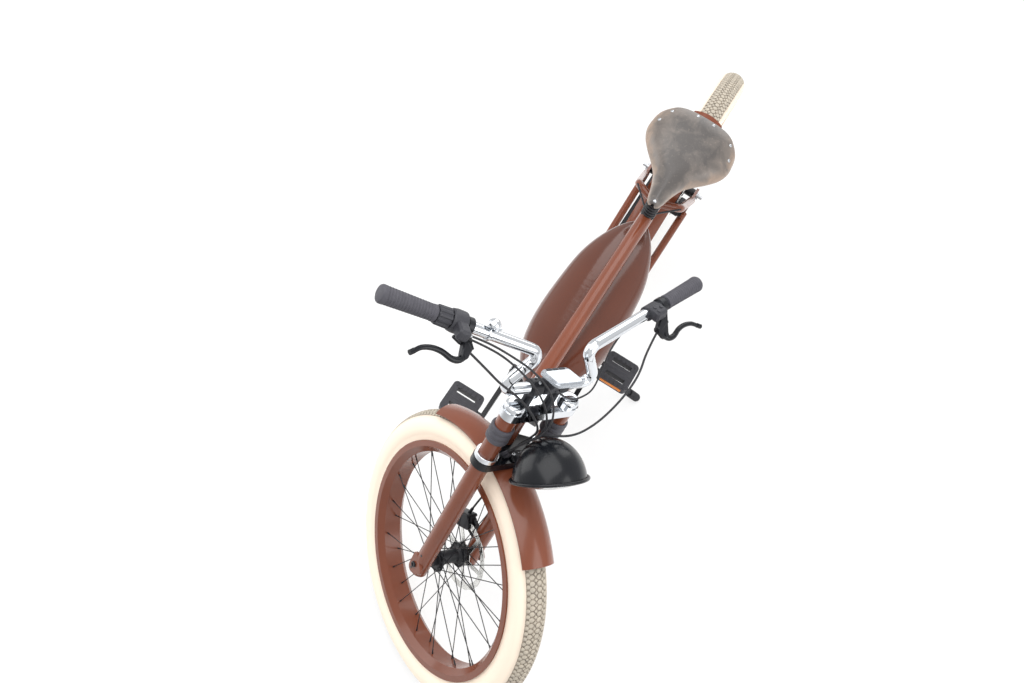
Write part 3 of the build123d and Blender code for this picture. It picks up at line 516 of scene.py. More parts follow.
def leatherMaterial():
    # thick vegetable-tanned hide, waxed and worn: grey where it is rubbed, tan at the skirts, fine pores
    material, tree, shader, place = startMaterial("wornSaddleLeather")
    edge = addNode(tree, "ShaderNodeAttribute", attribute_name="skirt")
    cloud = addNode(tree, "ShaderNodeTexNoise", {
        "Vector": place, "Scale": 1 / (38 * mm), "Detail": 7.0, "Roughness": 0.62, "Distortion": 0.6})
    patches = addNode(tree, "ShaderNodeMapRange", {
        "Value": cloud.outputs["Fac"], "From Min": 0.3, "From Max": 0.7, "To Min": -0.24, "To Max": 0.24})
    share = addNode(tree, "ShaderNodeMath", {0: edge.outputs["Fac"], 1: patches.outputs["Result"]},
                    operation="ADD")
    ramp = addNode(tree, "ShaderNodeValToRGB", {0: share.outputs[0]})
    stops = ramp.color_ramp.elements
    stops[0].position, stops[0].color = 0.05, linear("#4A4644")
    stops[1].position, stops[1].color = 0.95, linear("#937F6F")
    stops.new(0.5).color = linear("#6B635D")
    scuffs = addNode(tree, "ShaderNodeTexNoise", {"Vector": place, "Scale": 1 / (6 * mm), "Detail": 5.0})
    rubbed = addNode(tree, "ShaderNodeMapRange", {
        "Value": scuffs.outputs["Fac"], "From Min": 0.6, "From Max": 0.78, "To Min": 0.0, "To Max": 0.25})
    tint = addNode(tree, "ShaderNodeMix", {0: rubbed.outputs["Result"], 6: ramp.outputs[0],
                                           7: linear("#A09487")},
                   data_type="RGBA")
    pores = addNode(tree, "ShaderNodeTexVoronoi", {"Vector": place, "Scale": 1 / (1.6 * mm)})
    creases = addNode(tree, "ShaderNodeMath", {0: pores.outputs["Distance"], 1: cloud.outputs["Fac"]},
                      operation="MULTIPLY")
    bump = addNode(tree, "ShaderNodeBump", {"Height": creases.outputs[0], "Strength": 0.35,
                                            "Distance": 0.001})
    gloss = addNode(tree, "ShaderNodeMapRange", {"Value": cloud.outputs["Fac"], "To Min": 0.24,
                                                 "To Max": 0.46})
    setInputs(tree, shader, {
        "Base Color": tint.outputs[2], "Roughness": gloss.outputs["Result"],
        "Normal": bump.outputs["Normal"]})
    return material


def discMaterial():
    # ground stainless steel: fine marks from the grinding wheel
    material, tree, shader, place = startMaterial("groundStainless")
    marks = addNode(tree, "ShaderNodeTexNoise", {"Vector": place, "Scale": 1 / (1.5 * mm), "Detail": 3.0})
    gloss = addNode(tree, "ShaderNodeMapRange", {"Value": marks.outputs["Fac"], "To Min": 0.18,
                                                 "To Max": 0.34})
    bump = addNode(tree, "ShaderNodeBump", {"Height": marks.outputs["Fac"], "Strength": 0.05,
                                            "Distance": 0.001})
    setInputs(tree, shader, {"Base Color": linear("#CFCFCC"), "Metallic": 1.0,
                             "Roughness": gloss.outputs["Result"], "Normal": bump.outputs["Normal"]})
    return material


def glassMaterial():
    # clear moulded polycarbonate with faint flow marks
    material, tree, shader, place = startMaterial("clearLens")
    flow = addNode(tree, "ShaderNodeTexNoise", {"Vector": place, "Scale": 1 / (12 * mm), "Detail": 2.0})
    bump = addNode(tree, "ShaderNodeBump", {"Height": flow.outputs["Fac"], "Strength": 0.06,
                                            "Distance": 0.001})
    setInputs(tree, shader, {"Base Color": linear("#F3F6F7"), "Transmission Weight": 0.9, "Roughness": 0.05,
                             "IOR": 1.49, "Normal": bump.outputs["Normal"]})
    return material


materials = {name: finishMaterial(name, **values) for name, values in finishes.items()}
materials["chromePlate"] = chromeMaterial()
materials["creamTyreRubber"] = tyreMaterial()
materials["wornSaddleLeather"] = leatherMaterial()
materials["groundStainless"] = discMaterial()
materials["clearLens"] = glassMaterial()
print("materials", len(materials))


# camera, floor and light
cameraSizes = {"azimuth": 120.705, "elevation": 57.067, "roll": -0.99, "distance": 2.809, "lens": 35.304,
               "target": (0.0871, -0.1825, 0.2915)}


def addCamera():
    s = cameraSizes
    azimuth, elevation = math.radians(s["azimuth"]), math.radians(s["elevation"])
    back = Vector((math.sin(azimuth) * math.cos(elevation), -math.cos(azimuth) * math.cos(elevation),
                   math.sin(elevation)))
    data = bpy.data.cameras.new("camera")
    data.lens = s["lens"]
    data.sensor_width = 36
    camera = linked("camera", data)
    aim = (-back).to_track_quat("-Z", "Y").to_matrix().to_4x4() @ rotation(s["roll"], "Z")
    camera.matrix_world = Matrix.Translation(Vector(s["target"]) + back * s["distance"]) @ aim
    bpy.context.scene.camera = camera


lamps = {
    "top": dict(at=(0.2, -0.1, 3.4), size=3.2, power=95),
    "left": dict(at=(0.8, 3.0, 1.8), size=2.4, power=55),
    "right": dict(at=(0.6, -3.0, 1.6), size=2.4, power=45),
    "rear": dict(at=(-3.2, 0.2, 2.0), size=2.4, power=45),
}
lampTarget = Vector((0, 0, 0.4))


def addLights():
    for name, lamp in lamps.items():
        data = bpy.data.lights.new(name, "AREA")
        data.shape = "SQUARE"
        data.size = lamp["size"]
        data.energy = lamp["power"]
        place = Vector(lamp["at"])
        aim = (lampTarget - place).to_track_quat("-Z", "Y").to_matrix().to_4x4()
        linked(name, data).matrix_world = Matrix.Translation(place) @ aim


def addWorld():
    # a white room for the camera and for reflections, and a dimmer one as fill light
    world = bpy.data.worlds.new("studio")
    world.use_nodes = True
    tree = world.node_tree
    rays = addNode(tree, "ShaderNodeLightPath")
    seen = addNode(tree, "ShaderNodeMath", {0: rays.outputs["Is Camera Ray"],
                                            1: rays.outputs["Is Glossy Ray"]},
                   operation="MAXIMUM")
    seen = addNode(tree, "ShaderNodeMath", {0: seen.outputs[0], 1: rays.outputs["Is Transmission Ray"]},
                   operation="MAXIMUM")
    power = addNode(tree, "ShaderNodeMapRange", {"Value": seen.outputs[0], "To Min": 0.62, "To Max": 1.0})
    tree.links.new(power.outputs["Result"], tree.nodes["Background"].inputs["Strength"])
    tree.nodes["Background"].inputs["Color"].default_value = (1, 1, 1, 1)
    bpy.context.scene.world = world


def addFloor():
    # pale studio floor, lifted towards white for the camera, with the bike's shadow kept
    material, tree, shader, _ = startMaterial("paleFloor")
    setInputs(tree, shader, {"Base Color": linear("#F2F2F2"), "Roughness": 0.6})
    glow = addNode(tree, "ShaderNodeEmission", {"Color": (1, 1, 1, 1), "Strength": 1.0})
    rays = addNode(tree, "ShaderNodeLightPath")
    share = addNode(tree, "ShaderNodeMath", {0: rays.outputs["Is Camera Ray"], 1: 0.7}, operation="MULTIPLY")
    mix = addNode(tree, "ShaderNodeMixShader", {0: share.outputs[0], 1: shader.outputs[0],
                                                2: glow.outputs[0]})
    tree.links.new(mix.outputs[0], tree.nodes["Material Output"].inputs["Surface"])
    reach = 9.0
    corners = [(-reach, -reach, 0), (reach, -reach, 0), (reach, reach, 0), (-reach, reach, 0)]
    mesh = bpy.data.meshes.new("floor")
    mesh.from_pydata(corners, [], [(0, 1, 2, 3)])
    mesh.materials.append(material)
    linked("floor", mesh)


addCamera()
addLights()
addWorld()
addFloor()
bpy.context.scene.view_settings.view_transform = "Standard"
print("camera, lights and floor")


# hoses and cables, in the fork's frame: route, radius and real length in millimetres
cordSizes = {
    "leftBrakeHose": dict(radius=2.5, length=909, stiffness="medium", route=[
        (-10, 283, 719), (34, 228, 685), (68, 203, 655), (92, 168, 625), (112, 126, 596), (127, 80, 570),
        (130, 34, 546), (114, -20, 540), (78, -8, 496), (76, 46, 458), (78, 98, 428), (44, 112, 384),
        (16, 105, 334), (0, 96, 272), (-12, 82, 214), (-18, 66, 160), (-17, 57, 108)]),
    "rightBrakeHose": dict(radius=2.5, length=434, stiffness="medium", route=[
        (-1, -253, 712), (43, -198, 678), (52, -161, 648), (67, -110, 619), (86, -74, 590), (106, -46, 556),
        (84, -22, 502), (60, -19, 455), (54, -19, 412)]),
    "shiftCableA": dict(radius=2.25, length=461, stiffness="stiff", route=[
        (5, -250, 732), (22, -212, 724), (40, -163, 704), (70, -113, 674), (96, -70, 634), (115, -42, 582),
        (104, -30, 526), (74, -29, 474), (58, -28.5, 420)]),
    "shiftCableB": dict(radius=2.25, length=468, stiffness="stiff", route=[
        (7, -243, 738), (17, -209, 730), (36, -160, 712), (68, -106, 692), (100, -60, 656), (126, -46, 604),
        (120, -42, 548), (88, -42, 490), (60, -38, 430)]),
    "displayCable": dict(radius=2.0, length=331, stiffness="medium", route=[
        (-36, 241, 717), (-25, 203, 708), (-6, 165, 668), (10, 158, 612), (34, 140, 574), (50, 96, 571),
        (53, 58, 571), (50, 16, 598)]),
}


def addCord(name, sizes):
    curve = bpy.data.curves.new(name, "CURVE")
    curve.dimensions = "3D"
    curve.bevel_depth = sizes["radius"] * mm
    curve.bevel_resolution = 3
    curve.resolution_u = 8
    curve.use_fill_caps = True
    spline = curve.splines.new("NURBS")
    spline.points.add(len(sizes["route"]) - 1)
    for point, at in zip(spline.points, sizes["route"]):
        point.co = (*(forkPlace @ (Vector(at) * mm)), 1.0)
    spline.order_u = 3
    spline.use_endpoint_u = True
    cord = linked(name, curve)
    curve.materials.append(materials["blackRubber"])
    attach(cord, "fork")


for cordName, cordValues in cordSizes.items():
    addCord(cordName, cordValues)
print("cords", len(cordSizes))


def gland(name, end, length):
    # the fitting that a cord runs into at its start, 0, or its end, -1
    route, radius = cordSizes[name]["route"], cordSizes[name]["radius"]
    tip, inner = (route[0], route[1]) if end == 0 else (route[-1], route[-2])
    profile = [(0, 0), (radius + 0.6, 0), (radius + 1.6, 3), (radius + 1.6, length - 2),
               (radius + 0.8, length), (0, length)]
    return moved(turned(profile, 16), aimed(tip, Vector(tip) - Vector(inner)))


# finishes of the pieces that come from the construction
worn = {
    "brownPowderCoat": ["rim", "legs", "mudguard", "tube", "mast", "cradle", "stays", "dropouts"],
    "tankLacquer": ["tank"],
    "blackCoatedSteel": ["hub", "spokes", "springs", "rails", "wires", "seatpost", "collar", "bracket",
                         "leg"],
    "blackGlossEnamel": ["lower_crown", "cranks"],
    "blackAnodised": ["sprocket", "clamps"],
    "mouldedNylon": ["pedal", "shifter"],
    "motorPaint": ["motor"],
    "blackRubber": ["belt", "foot"],
    "greyGripRubber": ["grip"],
    "greyRubber": ["bands"],
    "chromePlate": ["upper_crown", "caps", "rings", "handlebar"],
    "zincSteel": ["axle", "steerer", "disc"],
    "creamRubber": ["tyre"],
}


def finishFor(node):
    for finish, endings in worn.items():
        if node in endings or node.split("_")[-1] in endings:
            return materials[finish]
    return materials["blackCoatedSteel"]


for name, piece in nodes.items():
    piece.data.materials.clear()
    piece.data.materials.append(finishFor(name))


# tyres: cream carcass with a dusty tread of round pads, its grooves darkened by dust and painted shade
tyreSizes = {"ring": 321, "section": 39, "beadHalf": 32.7, "bead": 284, "wall": 5, "groove": 2.6,
             "treadEdge": 47, "rows": 166, "steps": 168}
# a pitch of tread: degrees round the section, share of a pitch, half width, half length, sides, first corner
treadPads = [(0, 0.0, 6.3, 5.5, 12, 0), (26, 0.0, 6.2, 5.5, 12, 0), (-26, 0.0, 6.2, 5.5, 12, 0),
             (13, 0.5, 4.2, 4.6, 4, 0), (-13, 0.5, 4.2, 4.6, 4, 0), (39, 0.5, 5.0, 4.9, 8, 22.5),
             (-39, 0.5, 5.0, 4.9, 8, 22.5)]


def tyreShape():
    # the carcass, and how much road dust and painted shade darken each of its points
    s = tyreSizes
    edge = s["treadEdge"]
    beadAngle = 180 - math.degrees(math.asin(s["beadHalf"] / s["section"]))
    half = [-beadAngle + k * (beadAngle - edge) / 12 for k in range(12)] + [-edge + 0.01, -edge + 2]
    angles = half + [(edge - 2) * (k / 7 - 1) for k in range(1, 14)] + [-angle for angle in reversed(half)]
    outline, dustAndShade = [], []
    for angle in angles:
        inTread = abs(angle) < edge - 1
        outline += arc(s["section"] - (s["groove"] if inTread else 0), [angle], s["ring"])
        # full dust and painted shade in the grooves, then a fading band of it on the walls beside the tread
        dustAndShade.append(1.0 if inTread else max(0.0, 0.35 - (abs(angle) - edge) / 40))
    inner, beadInner = s["section"] - s["wall"], s["beadHalf"] - s["wall"]
    innerAngle = 180 - math.degrees(math.asin(beadInner / inner))
    outline += [(s["bead"], s["beadHalf"]), (s["bead"], beadInner)]
    outline += arc(inner, [innerAngle - k * innerAngle / 8 for k in range(17)], s["ring"])
    outline += [(s["bead"], -beadInner), (s["bead"], -s["beadHalf"])]
    dustAndShade += [0.0] * (len(outline) - len(dustAndShade))
    return turned(outline, s["steps"]), dustAndShade * s["steps"]


def treadPattern():
    s = tyreSizes
    pads = []
    for angle, share, across, length, sides, first in treadPads:
        section = math.radians(angle)
        rings = []
        for depth, shrink in ((s["groove"] + 1.0, 1.0), (0.5, 1.0), (0.0, 0.86)):
            ring = []
            for k in range(sides):
                corner = math.radians(first + 360 * k / sides)
                side = across * shrink * math.cos(corner) / s["section"]
                around = length * shrink * math.sin(corner) / 360 + share * 2 * math.pi / s["rows"]
                radius = s["ring"] + (s["section"] - depth) * math.cos(section + side)
                ring.append((radius * math.cos(around), (s["section"] - depth) * math.sin(section + side),
                             radius * math.sin(around)))
            rings.append(ring)
        pads.append(loop(rings))
    return joined(*pads)


def addTyre(end):
    wheel = wheels[end]
    shape, dustAndShade = tyreShape()
    tyre = newPiece(end + "TyreCasing", shape, "creamTyreRubber", wheel["body"], wheel["place"], merge=False)
    # the grooves' dust and painted shade, as a layer that the tyre's material reads
    layer = tyre.data.attributes.new("dustAndShade", "FLOAT", "POINT")
    layer.data.foreach_set("value", dustAndShade)
    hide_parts(end + "_tyre")
    tread = grown(end + "Tread", aroundAxle, {"Pattern": treadPattern(), "Count": tyreSizes["rows"]},
                  "treadRubber", wheel["body"], wheel["place"], angle=50)


# spokes: four sets of nine on each wheel, crossed, with nipples at the rim
spokeSizes = {"count": 36, "wire": 1.15, "rim": 260, "lead": 64, "flangeY": 31, "flangeThick": 3, "inset": 4,
              "spread": (7, 14), "head": 2.2, "nipple": (1.6, 2.1), "nippleLength": 13}


def spokeSets(flange):
    s = spokeSizes
    wires, nipples = [], []
    for side in (-1, 1):
        for index, lean in ((0, -1), (1, 1)):
            atRim = math.radians((index + (0.5 if side > 0 else 0.0)) * 720 / s["count"])
            atHub = atRim + math.radians(lean * s["lead"])
            headY = side * (s["flangeY"] + lean * (s["flangeThick"] / 2 + s["wire"] + 0.3))
            farY = side * (s["flangeY"] - lean * (s["flangeThick"] / 2 + 1.0))
            circle = flange - s["inset"]
            hub = Vector((circle * math.cos(atHub), headY, circle * math.sin(atHub)))
            far = Vector((hub.x, farY, hub.z))
            tip = Vector((s["rim"] * math.cos(atRim), side * s["spread"][index], s["rim"] * math.sin(atRim)))
            along = (tip - hub).normalized()
            wires.append(bar([hub, tip], s["wire"], sides=6))
            wires.append(bar([hub + along * 1.2, hub, far], s["wire"], sides=6, steps=2))
            wires.append(bar([far, far + (far - hub).normalized() * 1.2], s["head"], sides=8))
            nipples.append(bar([tip - along * s["nippleLength"], tip + along * 1.0], s["nipple"], sides=6))
    return joined(*wires), joined(*nipples)


def addSpokes(end):
    wheel = wheels[end]
    wires, nipples = spokeSets(wheel["flange"])
    count = spokeSizes["count"] // 4
    wire = grown(end + "SpokeWires", aroundAxle, {"Pattern": wires, "Count": count}, "blackAnodised",
                 wheel["body"], wheel["place"])
    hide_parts(end + "_spokes")
    grown(end + "SpokeNipples", aroundAxle, {"Pattern": nipples, "Count": count}, "blackCoatedSteel",
          wheel["body"], wheel["place"])


# brake discs: a drilled band on six swept arms; rows of holes by radius and lag in degrees
discSizes = {"radius": 90, "band": 15, "thick": 2, "y": 46, "seat": 30, "bore": 15, "arms": 6, "notch": 0.9,
             "holes": 30, "holeRadius": 1.9, "holeRows": ((79, 0), (82.7, 2.8), (86.2, 5.6)), "bolts": 6,
             "boltCircle": 22.5}


def discOutlines():
    # edge, bore, windows between the arms, and drilled holes
    s = discSizes
    edge = [arc(s["radius"] - (s["notch"] if k % 6 < 3 else 0.0), [3 * k])[0] for k in range(120)]
    outlines = [edge, arc(s["bore"], range(0, 360, 12))]
    for k in range(s["arms"]):
        start = 360 * k / s["arms"]
        outlines.append(arc(s["radius"] - s["band"], [start + 18 + i * 52 / 12 for i in range(13)])
                        + arc(s["seat"], [start + 48 - i * 34 / 8 for i in range(9)]))
    for k in range(s["holes"]):
        for radius, lag in s["holeRows"]:
            x, z = arc(radius, [360 * k / s["holes"] + lag])[0]
            outlines.append(arc(s["holeRadius"], range(0, 360, 45), x, z))
    return outlines


def discCurve():
    curve = bpy.data.curves.new("disc", "CURVE")
    curve.dimensions = "2D"
    curve.fill_mode = "BOTH"
    curve.extrude = discSizes["thick"] / 2 * mm
    for outline in discOutlines():
        spline = curve.splines.new("POLY")
        spline.points.add(len(outline) - 1)
        for point, (x, z) in zip(spline.points, outline):
            point.co = (x * mm, z * mm, 0, 1)
        spline.use_cyclic_u = True
    return curve


def addDisc(end):
    wheel = wheels[end]
    holder = linked("discHolder", discCurve())
    graph = bpy.context.evaluated_depsgraph_get()
    mesh = bpy.data.meshes.new_from_object(holder.evaluated_get(graph), depsgraph=graph)
    bpy.data.objects.remove(holder)
    cleaned(mesh)
    mesh.transform(wheel["place"] @ shift(0, discSizes["y"] * mm, 0) @ zUp)
    mesh.materials.clear()
    mesh.materials.append(materials["groundStainless"])
    disc = linked(end + "DrilledDisc", mesh)
    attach(disc, wheel["body"])
    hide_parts(end + "_disc")
    bolt = moved(buttonHead(4.0, 2.2), shift(discSizes["boltCircle"], discSizes["y"] + 1, 0) @ upToLeft)
    grown(end + "DiscBolts", aroundAxle, {"Pattern": bolt, "Count": discSizes["bolts"]}, "zincSteel",
          wheel["body"], wheel["place"])


# screws and rivets, drawn along z from the face they sit on
upToLeft, zUp = rotation(-90, "X"), rotation(90, "X")


def buttonHead(radius, height):
    # a low domed head with a hollow for the key
    key = radius * 0.5
    profile = [(radius, -0.5), (radius, 0.2)] + arc(radius - key, (20, 45, 70, 90), key, 0, height)
    profile += [(key, height * 0.35), (0, height * 0.35), (0, -0.5)]
    return moved(turned(profile, 14), zUp)


def socketHead(radius, height):
    # a plain round head with a straight socket
    key = radius * 0.55
    profile = [(radius, -0.5), (radius, height - 0.5), (radius - 0.5, height), (key, height),
               (key, height * 0.4), (0, height * 0.4), (0, -0.5)]
    return moved(turned(profile, 16), zUp)


def rivetHead(radius, height):
    # a low dome on a shank
    dome = arc(radius, (25, 50, 72), high=height)
    return moved(turned([(radius, -1.0), (radius, 0), *dome, (0, height), (0, -1.0)], 16), zUp)


# saddle: a taut hide on a sprung wire frame, riveted at the cantle and the nose
# from the back to the nose: place along the bike, half width, height and drop of the skirt
saddleStations = [
    (117, 82, 783, 18), (122, 93, 790, 28), (148, 114, 793, 43), (178, 121, 791, 50), (205, 121, 788, 52),
    (234, 110, 784, 51), (262, 89, 779, 49), (292, 63, 775, 45), (320, 44, 772, 40), (350, 33, 770, 34),
    (380, 26, 769, 28), (402, 21, 766, 23), (416, 16, 761, 17), (422, 9, 755, 11)]
saddleSizes = {"wall": 4.6, "across": 33, "along": 5, "backBow": 20}
rivetSpots = [(0.25, -0.66), (0.155, -0.56), (0.105, -0.15), (0.105, 0.15), (0.155, 0.56), (0.25, 0.66),
              (0.93, 0.0)]


def saddlePoint(share, across, inset=0.0):
    # a point of the hide: share from the back to the nose, across from right to left
    count = len(saddleStations) - 1
    spot = min(share * count, count - 1e-6)
    index = int(spot)
    t = spot - index

    def blendOf(column):
        rows = (saddleStations[min(max(index + k, 0), count)] for k in (-1, 0, 1, 2))
        return between(*(row[column] for row in rows), t)

    x, half, top, drop = (blendOf(column) for column in range(4))
    angle = across * math.pi / 2
    ridge = 2.2 * math.exp(-(across / 0.16) ** 2) * min(1, max(0, (share - 0.42) / 0.2))
    dip = 3.0 * math.exp(-(across / 0.5) ** 2) * math.exp(-((share - 0.4) / 0.16) ** 2)
    bow = saddleSizes["backBow"] * abs(across) ** 3 * max(0, 1 - share * 5)
    y = (half - inset) * math.sin(angle)
    z = top - inset - (drop - inset * 0.4) * (1 - math.cos(angle)) ** 1.12 + ridge - dip
    return Vector((x + bow - (inset if share > 0.5 else -inset) * (abs(2 * share - 1) ** 8), y, z))


def addSaddle():
    rows, columns = (len(saddleStations) - 1) * saddleSizes["along"] + 1, saddleSizes["across"]
    shares = [i / (rows - 1) for i in range(rows)]
    sides = [-1 + 2 * j / (columns - 1) for j in range(columns)]
    rings = []
    for share in shares:
        outer = [saddlePoint(share, side) for side in sides]
        inner = [saddlePoint(share, side, saddleSizes["wall"]) for side in reversed(sides)]
        rings.append(outer + inner)
    vertices, faces = loop(rings, capped=False)
    count = 2 * columns
    for base in (0, (rows - 1) * count):
        for j in range(columns - 1):
            faces.append((base + j, base + j + 1, base + count - 2 - j, base + count - 1 - j))
    saddle = newPiece("saddleHide", (vertices, faces), "wornSaddleLeather", "frame", bikePlace, merge=False,
                      angle=60)
    skirt = []
    for share in shares:
        row = [min(1.0, abs(side) ** 1.6 * 1.05 + max(0, 0.25 - share) * 1.2) for side in sides]
        skirt += row + row[::-1]
    layer = saddle.data.attributes.new("skirt", "FLOAT", "POINT")
    layer.data.foreach_set("value", skirt)
    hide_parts("saddle_leather")
    spots = []
    for share, across in rivetSpots:
        at = saddlePoint(share, across)
        normal = (saddlePoint(share + 0.01, across) - saddlePoint(share - 0.01, across)).cross(
            saddlePoint(share, across + 0.02) - saddlePoint(share, across - 0.02))
        spots.append((at, normal if normal.z > 0 else -normal))
    grown("saddleRivets", atSpots, {"Pattern": rivetHead(4.6, 2.0)}, "zincSteel", "frame", bikePlace, spots)


# coil springs of the saddle: foot, head, coil and wire radius, turns, and the solid that each stands for
springs = {
    "noseCoil": dict(foot=(393.4, 0, 669), head=(397.4, 0, 745), radius=16, wire=3.4, turns=6.5,
                     node="nose_springs"),
    "leftRearCoil": dict(foot=(168, 58, 692), head=(168, 58, 732), radius=14.5, wire=3.0, turns=4.5,
                         node="rear_springs"),
    "rightRearCoil": dict(foot=(168, -58, 692), head=(168, -58, 732), radius=14.5, wire=3.0, turns=4.5),
}
cupSizes = {"lip": 2, "thick": 3, "core": 6, "sides": 28}


def springCups(s):
    # a cup over each end of a coil, on one core
    foot, head = Vector(s["foot"]), Vector(s["head"])
    height, edge = (head - foot).length, s["radius"] + cupSizes["lip"]
    thick, core = cupSizes["thick"], cupSizes["core"]
    profile = [(0, -thick), (edge, -thick), (edge, 0), (core, 1), (core, height - 1), (edge, height),
               (edge, height + thick), (0, height + thick)]
    return moved(turned(profile, cupSizes["sides"]), aimed(foot, head - foot))


def addSprings():
    for name, s in springs.items():
        foot, head = Vector(s["foot"]), Vector(s["head"])
        place = bikePlace @ aimed(foot * mm, head - foot) @ upToLeft
        sizes = {"Coil radius": s["radius"] * mm, "Wire radius": s["wire"] * mm,
                 "Height": (head - foot).length * mm, "Turns": s["turns"]}
        coil = grown(name, coilSpring, sizes, "blackCoatedSteel", "frame", place)
        if "node" in s:
            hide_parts(s["node"])
    nose = springs["noseCoil"]
    base = turned([(0, -22), (15, -22), (15, -6), (12, -3), (0, -3)], cupSizes["sides"])
    x, y, z = nose["head"]
    post = bar([(x, y, z + 2), (x + 0.6, y, z + 17)], 7)
    cups = [springCups(s) for s in springs.values()]
    newPiece("saddleSpringCups", joined(*cups, moved(base, aimed(nose["foot"], (0, 0, 1))), post),
             "blackCoatedSteel", "frame", bikePlace)


# places on the fork, in its own frame: z up the steering axis, x forwards
fork = {"legX": 42, "legY": 73, "crownTop": 398.3, "barX": 28, "barZ": 597.0}

# ribbed rubber bands round the fork legs, with bare paint above and below
legBandSizes = {"low": 458.3, "high": 500.3, "ribs": 3, "inner": 21.1, "groove": 24, "edge": 26, "rib": 26.4}


def addLegBands():
    s = legBandSizes
    outline = [(s["inner"], s["low"]), (s["groove"], s["low"])]
    step = (s["high"] - s["low"]) / s["ribs"]
    for k in range(s["ribs"]):
        start = s["low"] + step * k
        outline += [(s["edge"], start + step * 0.2), (s["rib"], start + step * 0.5),
                    (s["edge"], start + step * 0.8), (s["groove"], start + step)]
    outline.append((s["inner"], s["high"]))
    bands = [moved(turned(outline, 48), aimed((fork["legX"], side * fork["legY"], 0), (0, 0, 1)))
             for side in (-1, 1)]
    piece = newPiece("legRubberBands", joined(*bands), "greyRubber", "fork", forkPlace, angle=50)
    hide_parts("leg_bands")


# headlight: a spun steel bucket with a rolled rim, reflector, bulb and fluted lens
headlightSizes = {"at": (101, 0, 516), "aim": 135.2, "radius": 80, "depth": 92.6, "wall": 2.0, "bead": 4.0,
                  "bowl": 70, "bowlFloor": 16, "bowlRim": 76, "bowlWall": 1.2, "lens": 78.5, "lensBulge": 15,
                  "lensThick": 2.5, "flute": 0.35}
# the bulb's profile along the headlight's axis
bulbLine = [(0, 14), (5, 14), (5, 24), (8, 30), (9, 38), (7, 45), (3, 49), (0, 50)]
bracketSizes = {"plateWidth": 30, "neck": ((62, 3), (74, 20), (84, 34)), "neckRadius": (9, 7), "screwX": 54,
                "screwY": 9, "screwUp": 6.6}


def addHeadlight():
    s = headlightSizes
    radius, depth, wall = s["radius"], s["depth"], s["wall"]
    place = forkPlace @ Matrix.Translation(Vector(s["at"]) * mm) @ rotation(s["aim"], "Y") @ zUp
    bucket = (arc(radius, range(-90, -4, 5), 0, depth, depth)
              + arc(s["bead"], range(-120, 150, 22), radius + 2, depth - 5)
              + arc(radius - wall, range(-2, -91, -8), 0, depth, depth - wall))
    light = newPiece("headlightBucket", turned(bucket, 72), "blackGlossEnamel", "fork", place)
    bowl = arc(s["bowl"], range(-90, 0, 6), 2, s["bowlFloor"] + s["bowl"])
    rim = s["bowlRim"]
    bowl += [(rim, 88), (rim, 90), (rim + 2, 90)] + [(r + s["bowlWall"], y - 0.4) for r, y in reversed(bowl)]
    reflector = newPiece("headlightReflector", turned(bowl, 60), "chromePlate", "fork", place)
    newPiece("headlightBulb", turned(bulbLine, 20), "paleScreen", "fork", place)
    lens = [(s["lens"] * k / 12, depth - 1 + s["lensBulge"] * (1 - (k / 12) ** 2) + s["flute"] * (-1) ** k)
            for k in range(13)]
    back = [(r, y - s["lensThick"]) for r, y in reversed(lens)]
    newPiece("headlightGlass", turned(lens + back, 64), "clearLens", "fork", place)


def addBracket():
    # a plate on the lower crown, and the neck that carries the headlight
    s, top = bracketSizes, fork["crownTop"]
    foot = plate(hull([(44, top + 3, 3), (66, top + 3, 3), (50, top + 8, 3)]), s["plateWidth"], 1)
    neck = bar([(x, 0, top + up) for x, up in s["neck"]], s["neckRadius"], sides=14, flat=1.4,
               towards=(0, 1, 0))
    newPiece("headlightBracket", joined(foot, neck), "blackCoatedSteel", "fork", forkPlace)
    screws = [((s["screwX"], side * s["screwY"], top + s["screwUp"]), (0, 0, 1)) for side in (1, -1)]
    grown("headlightScrews", atSpots, {"Pattern": socketHead(4.5, 4)}, "zincSteel", "fork", forkPlace, screws)


# what the handlebar carries, by distance from the bar's ends
barEnd, barKnee = Vector((-80, 414, 774)), Vector((23, 59, 693.7))
gripDir = (barEnd - barKnee).normalized()
flip = Matrix.Scale(-1, 4, (0, 1, 0))
gripSizes = {"distance": 118, "length": 120, "ribs": 15, "bore": 12.7}


def onBar(shape, distance, side):
    # a shape drawn along y towards the left end of the bar, with x forwards, on either side
    place = aimed(barEnd - gripDir * distance, gripDir, (1, 0, 0))
    return moved(shape, flip @ place if side < 0 else place)


def gripShape():
    # a flanged inner end, ribs that swell towards the outer end, and a closed cap
    s = gripSizes
    inner, full = s["bore"], s["length"]
    outline = [(inner, 0), (16.4, 0), (17.2, 2), (17.2, 6), (16.0, 8)]
    step = (full - 22) / s["ribs"]
    for k in range(s["ribs"]):
        at = 8 + k * step
        swell = 15.6 + 1.6 * k / s["ribs"]
        outline += [(swell, at + step * 0.22), (swell + 1.1, at + step * 0.42),
                    (swell + 1.1, at + step * 0.8), (swell, at + step)]
    outline += [(17.4, full - 13), (18.6, full - 11), (18.6, full - 4), (17, full - 1), (13, full + 1),
                (0, full + 1), (0, full - 1.5), (inner, full - 1.5)]
    return turned(outline, 48)


def addGrips():
    for side, name in ((1, "left"), (-1, "right")):
        grip = newPiece(name + "RibbedGrip", onBar(gripShape(), gripSizes["distance"], side),
                        "greyGripRubber", "fork", forkPlace, angle=30)
        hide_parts(name + "_grip")


# twist shifter: rings of its fluted sleeve by place and radius, its drum's profile, and its cable housing
twistSizes = {"distance": 184, "sleeve": ((34, 18.4), (36, 20.6), (62, 20.0), (64, 18.2)), "flute": 1.8,
              "drum": ((12.7, 0), (21, 0), (23.4, 2), (24, 8), (24, 22), (22.6, 30), (20, 33), (12.7, 33)),
              "housing": (38, 26, 26), "housingAt": (31, 14, 3)}


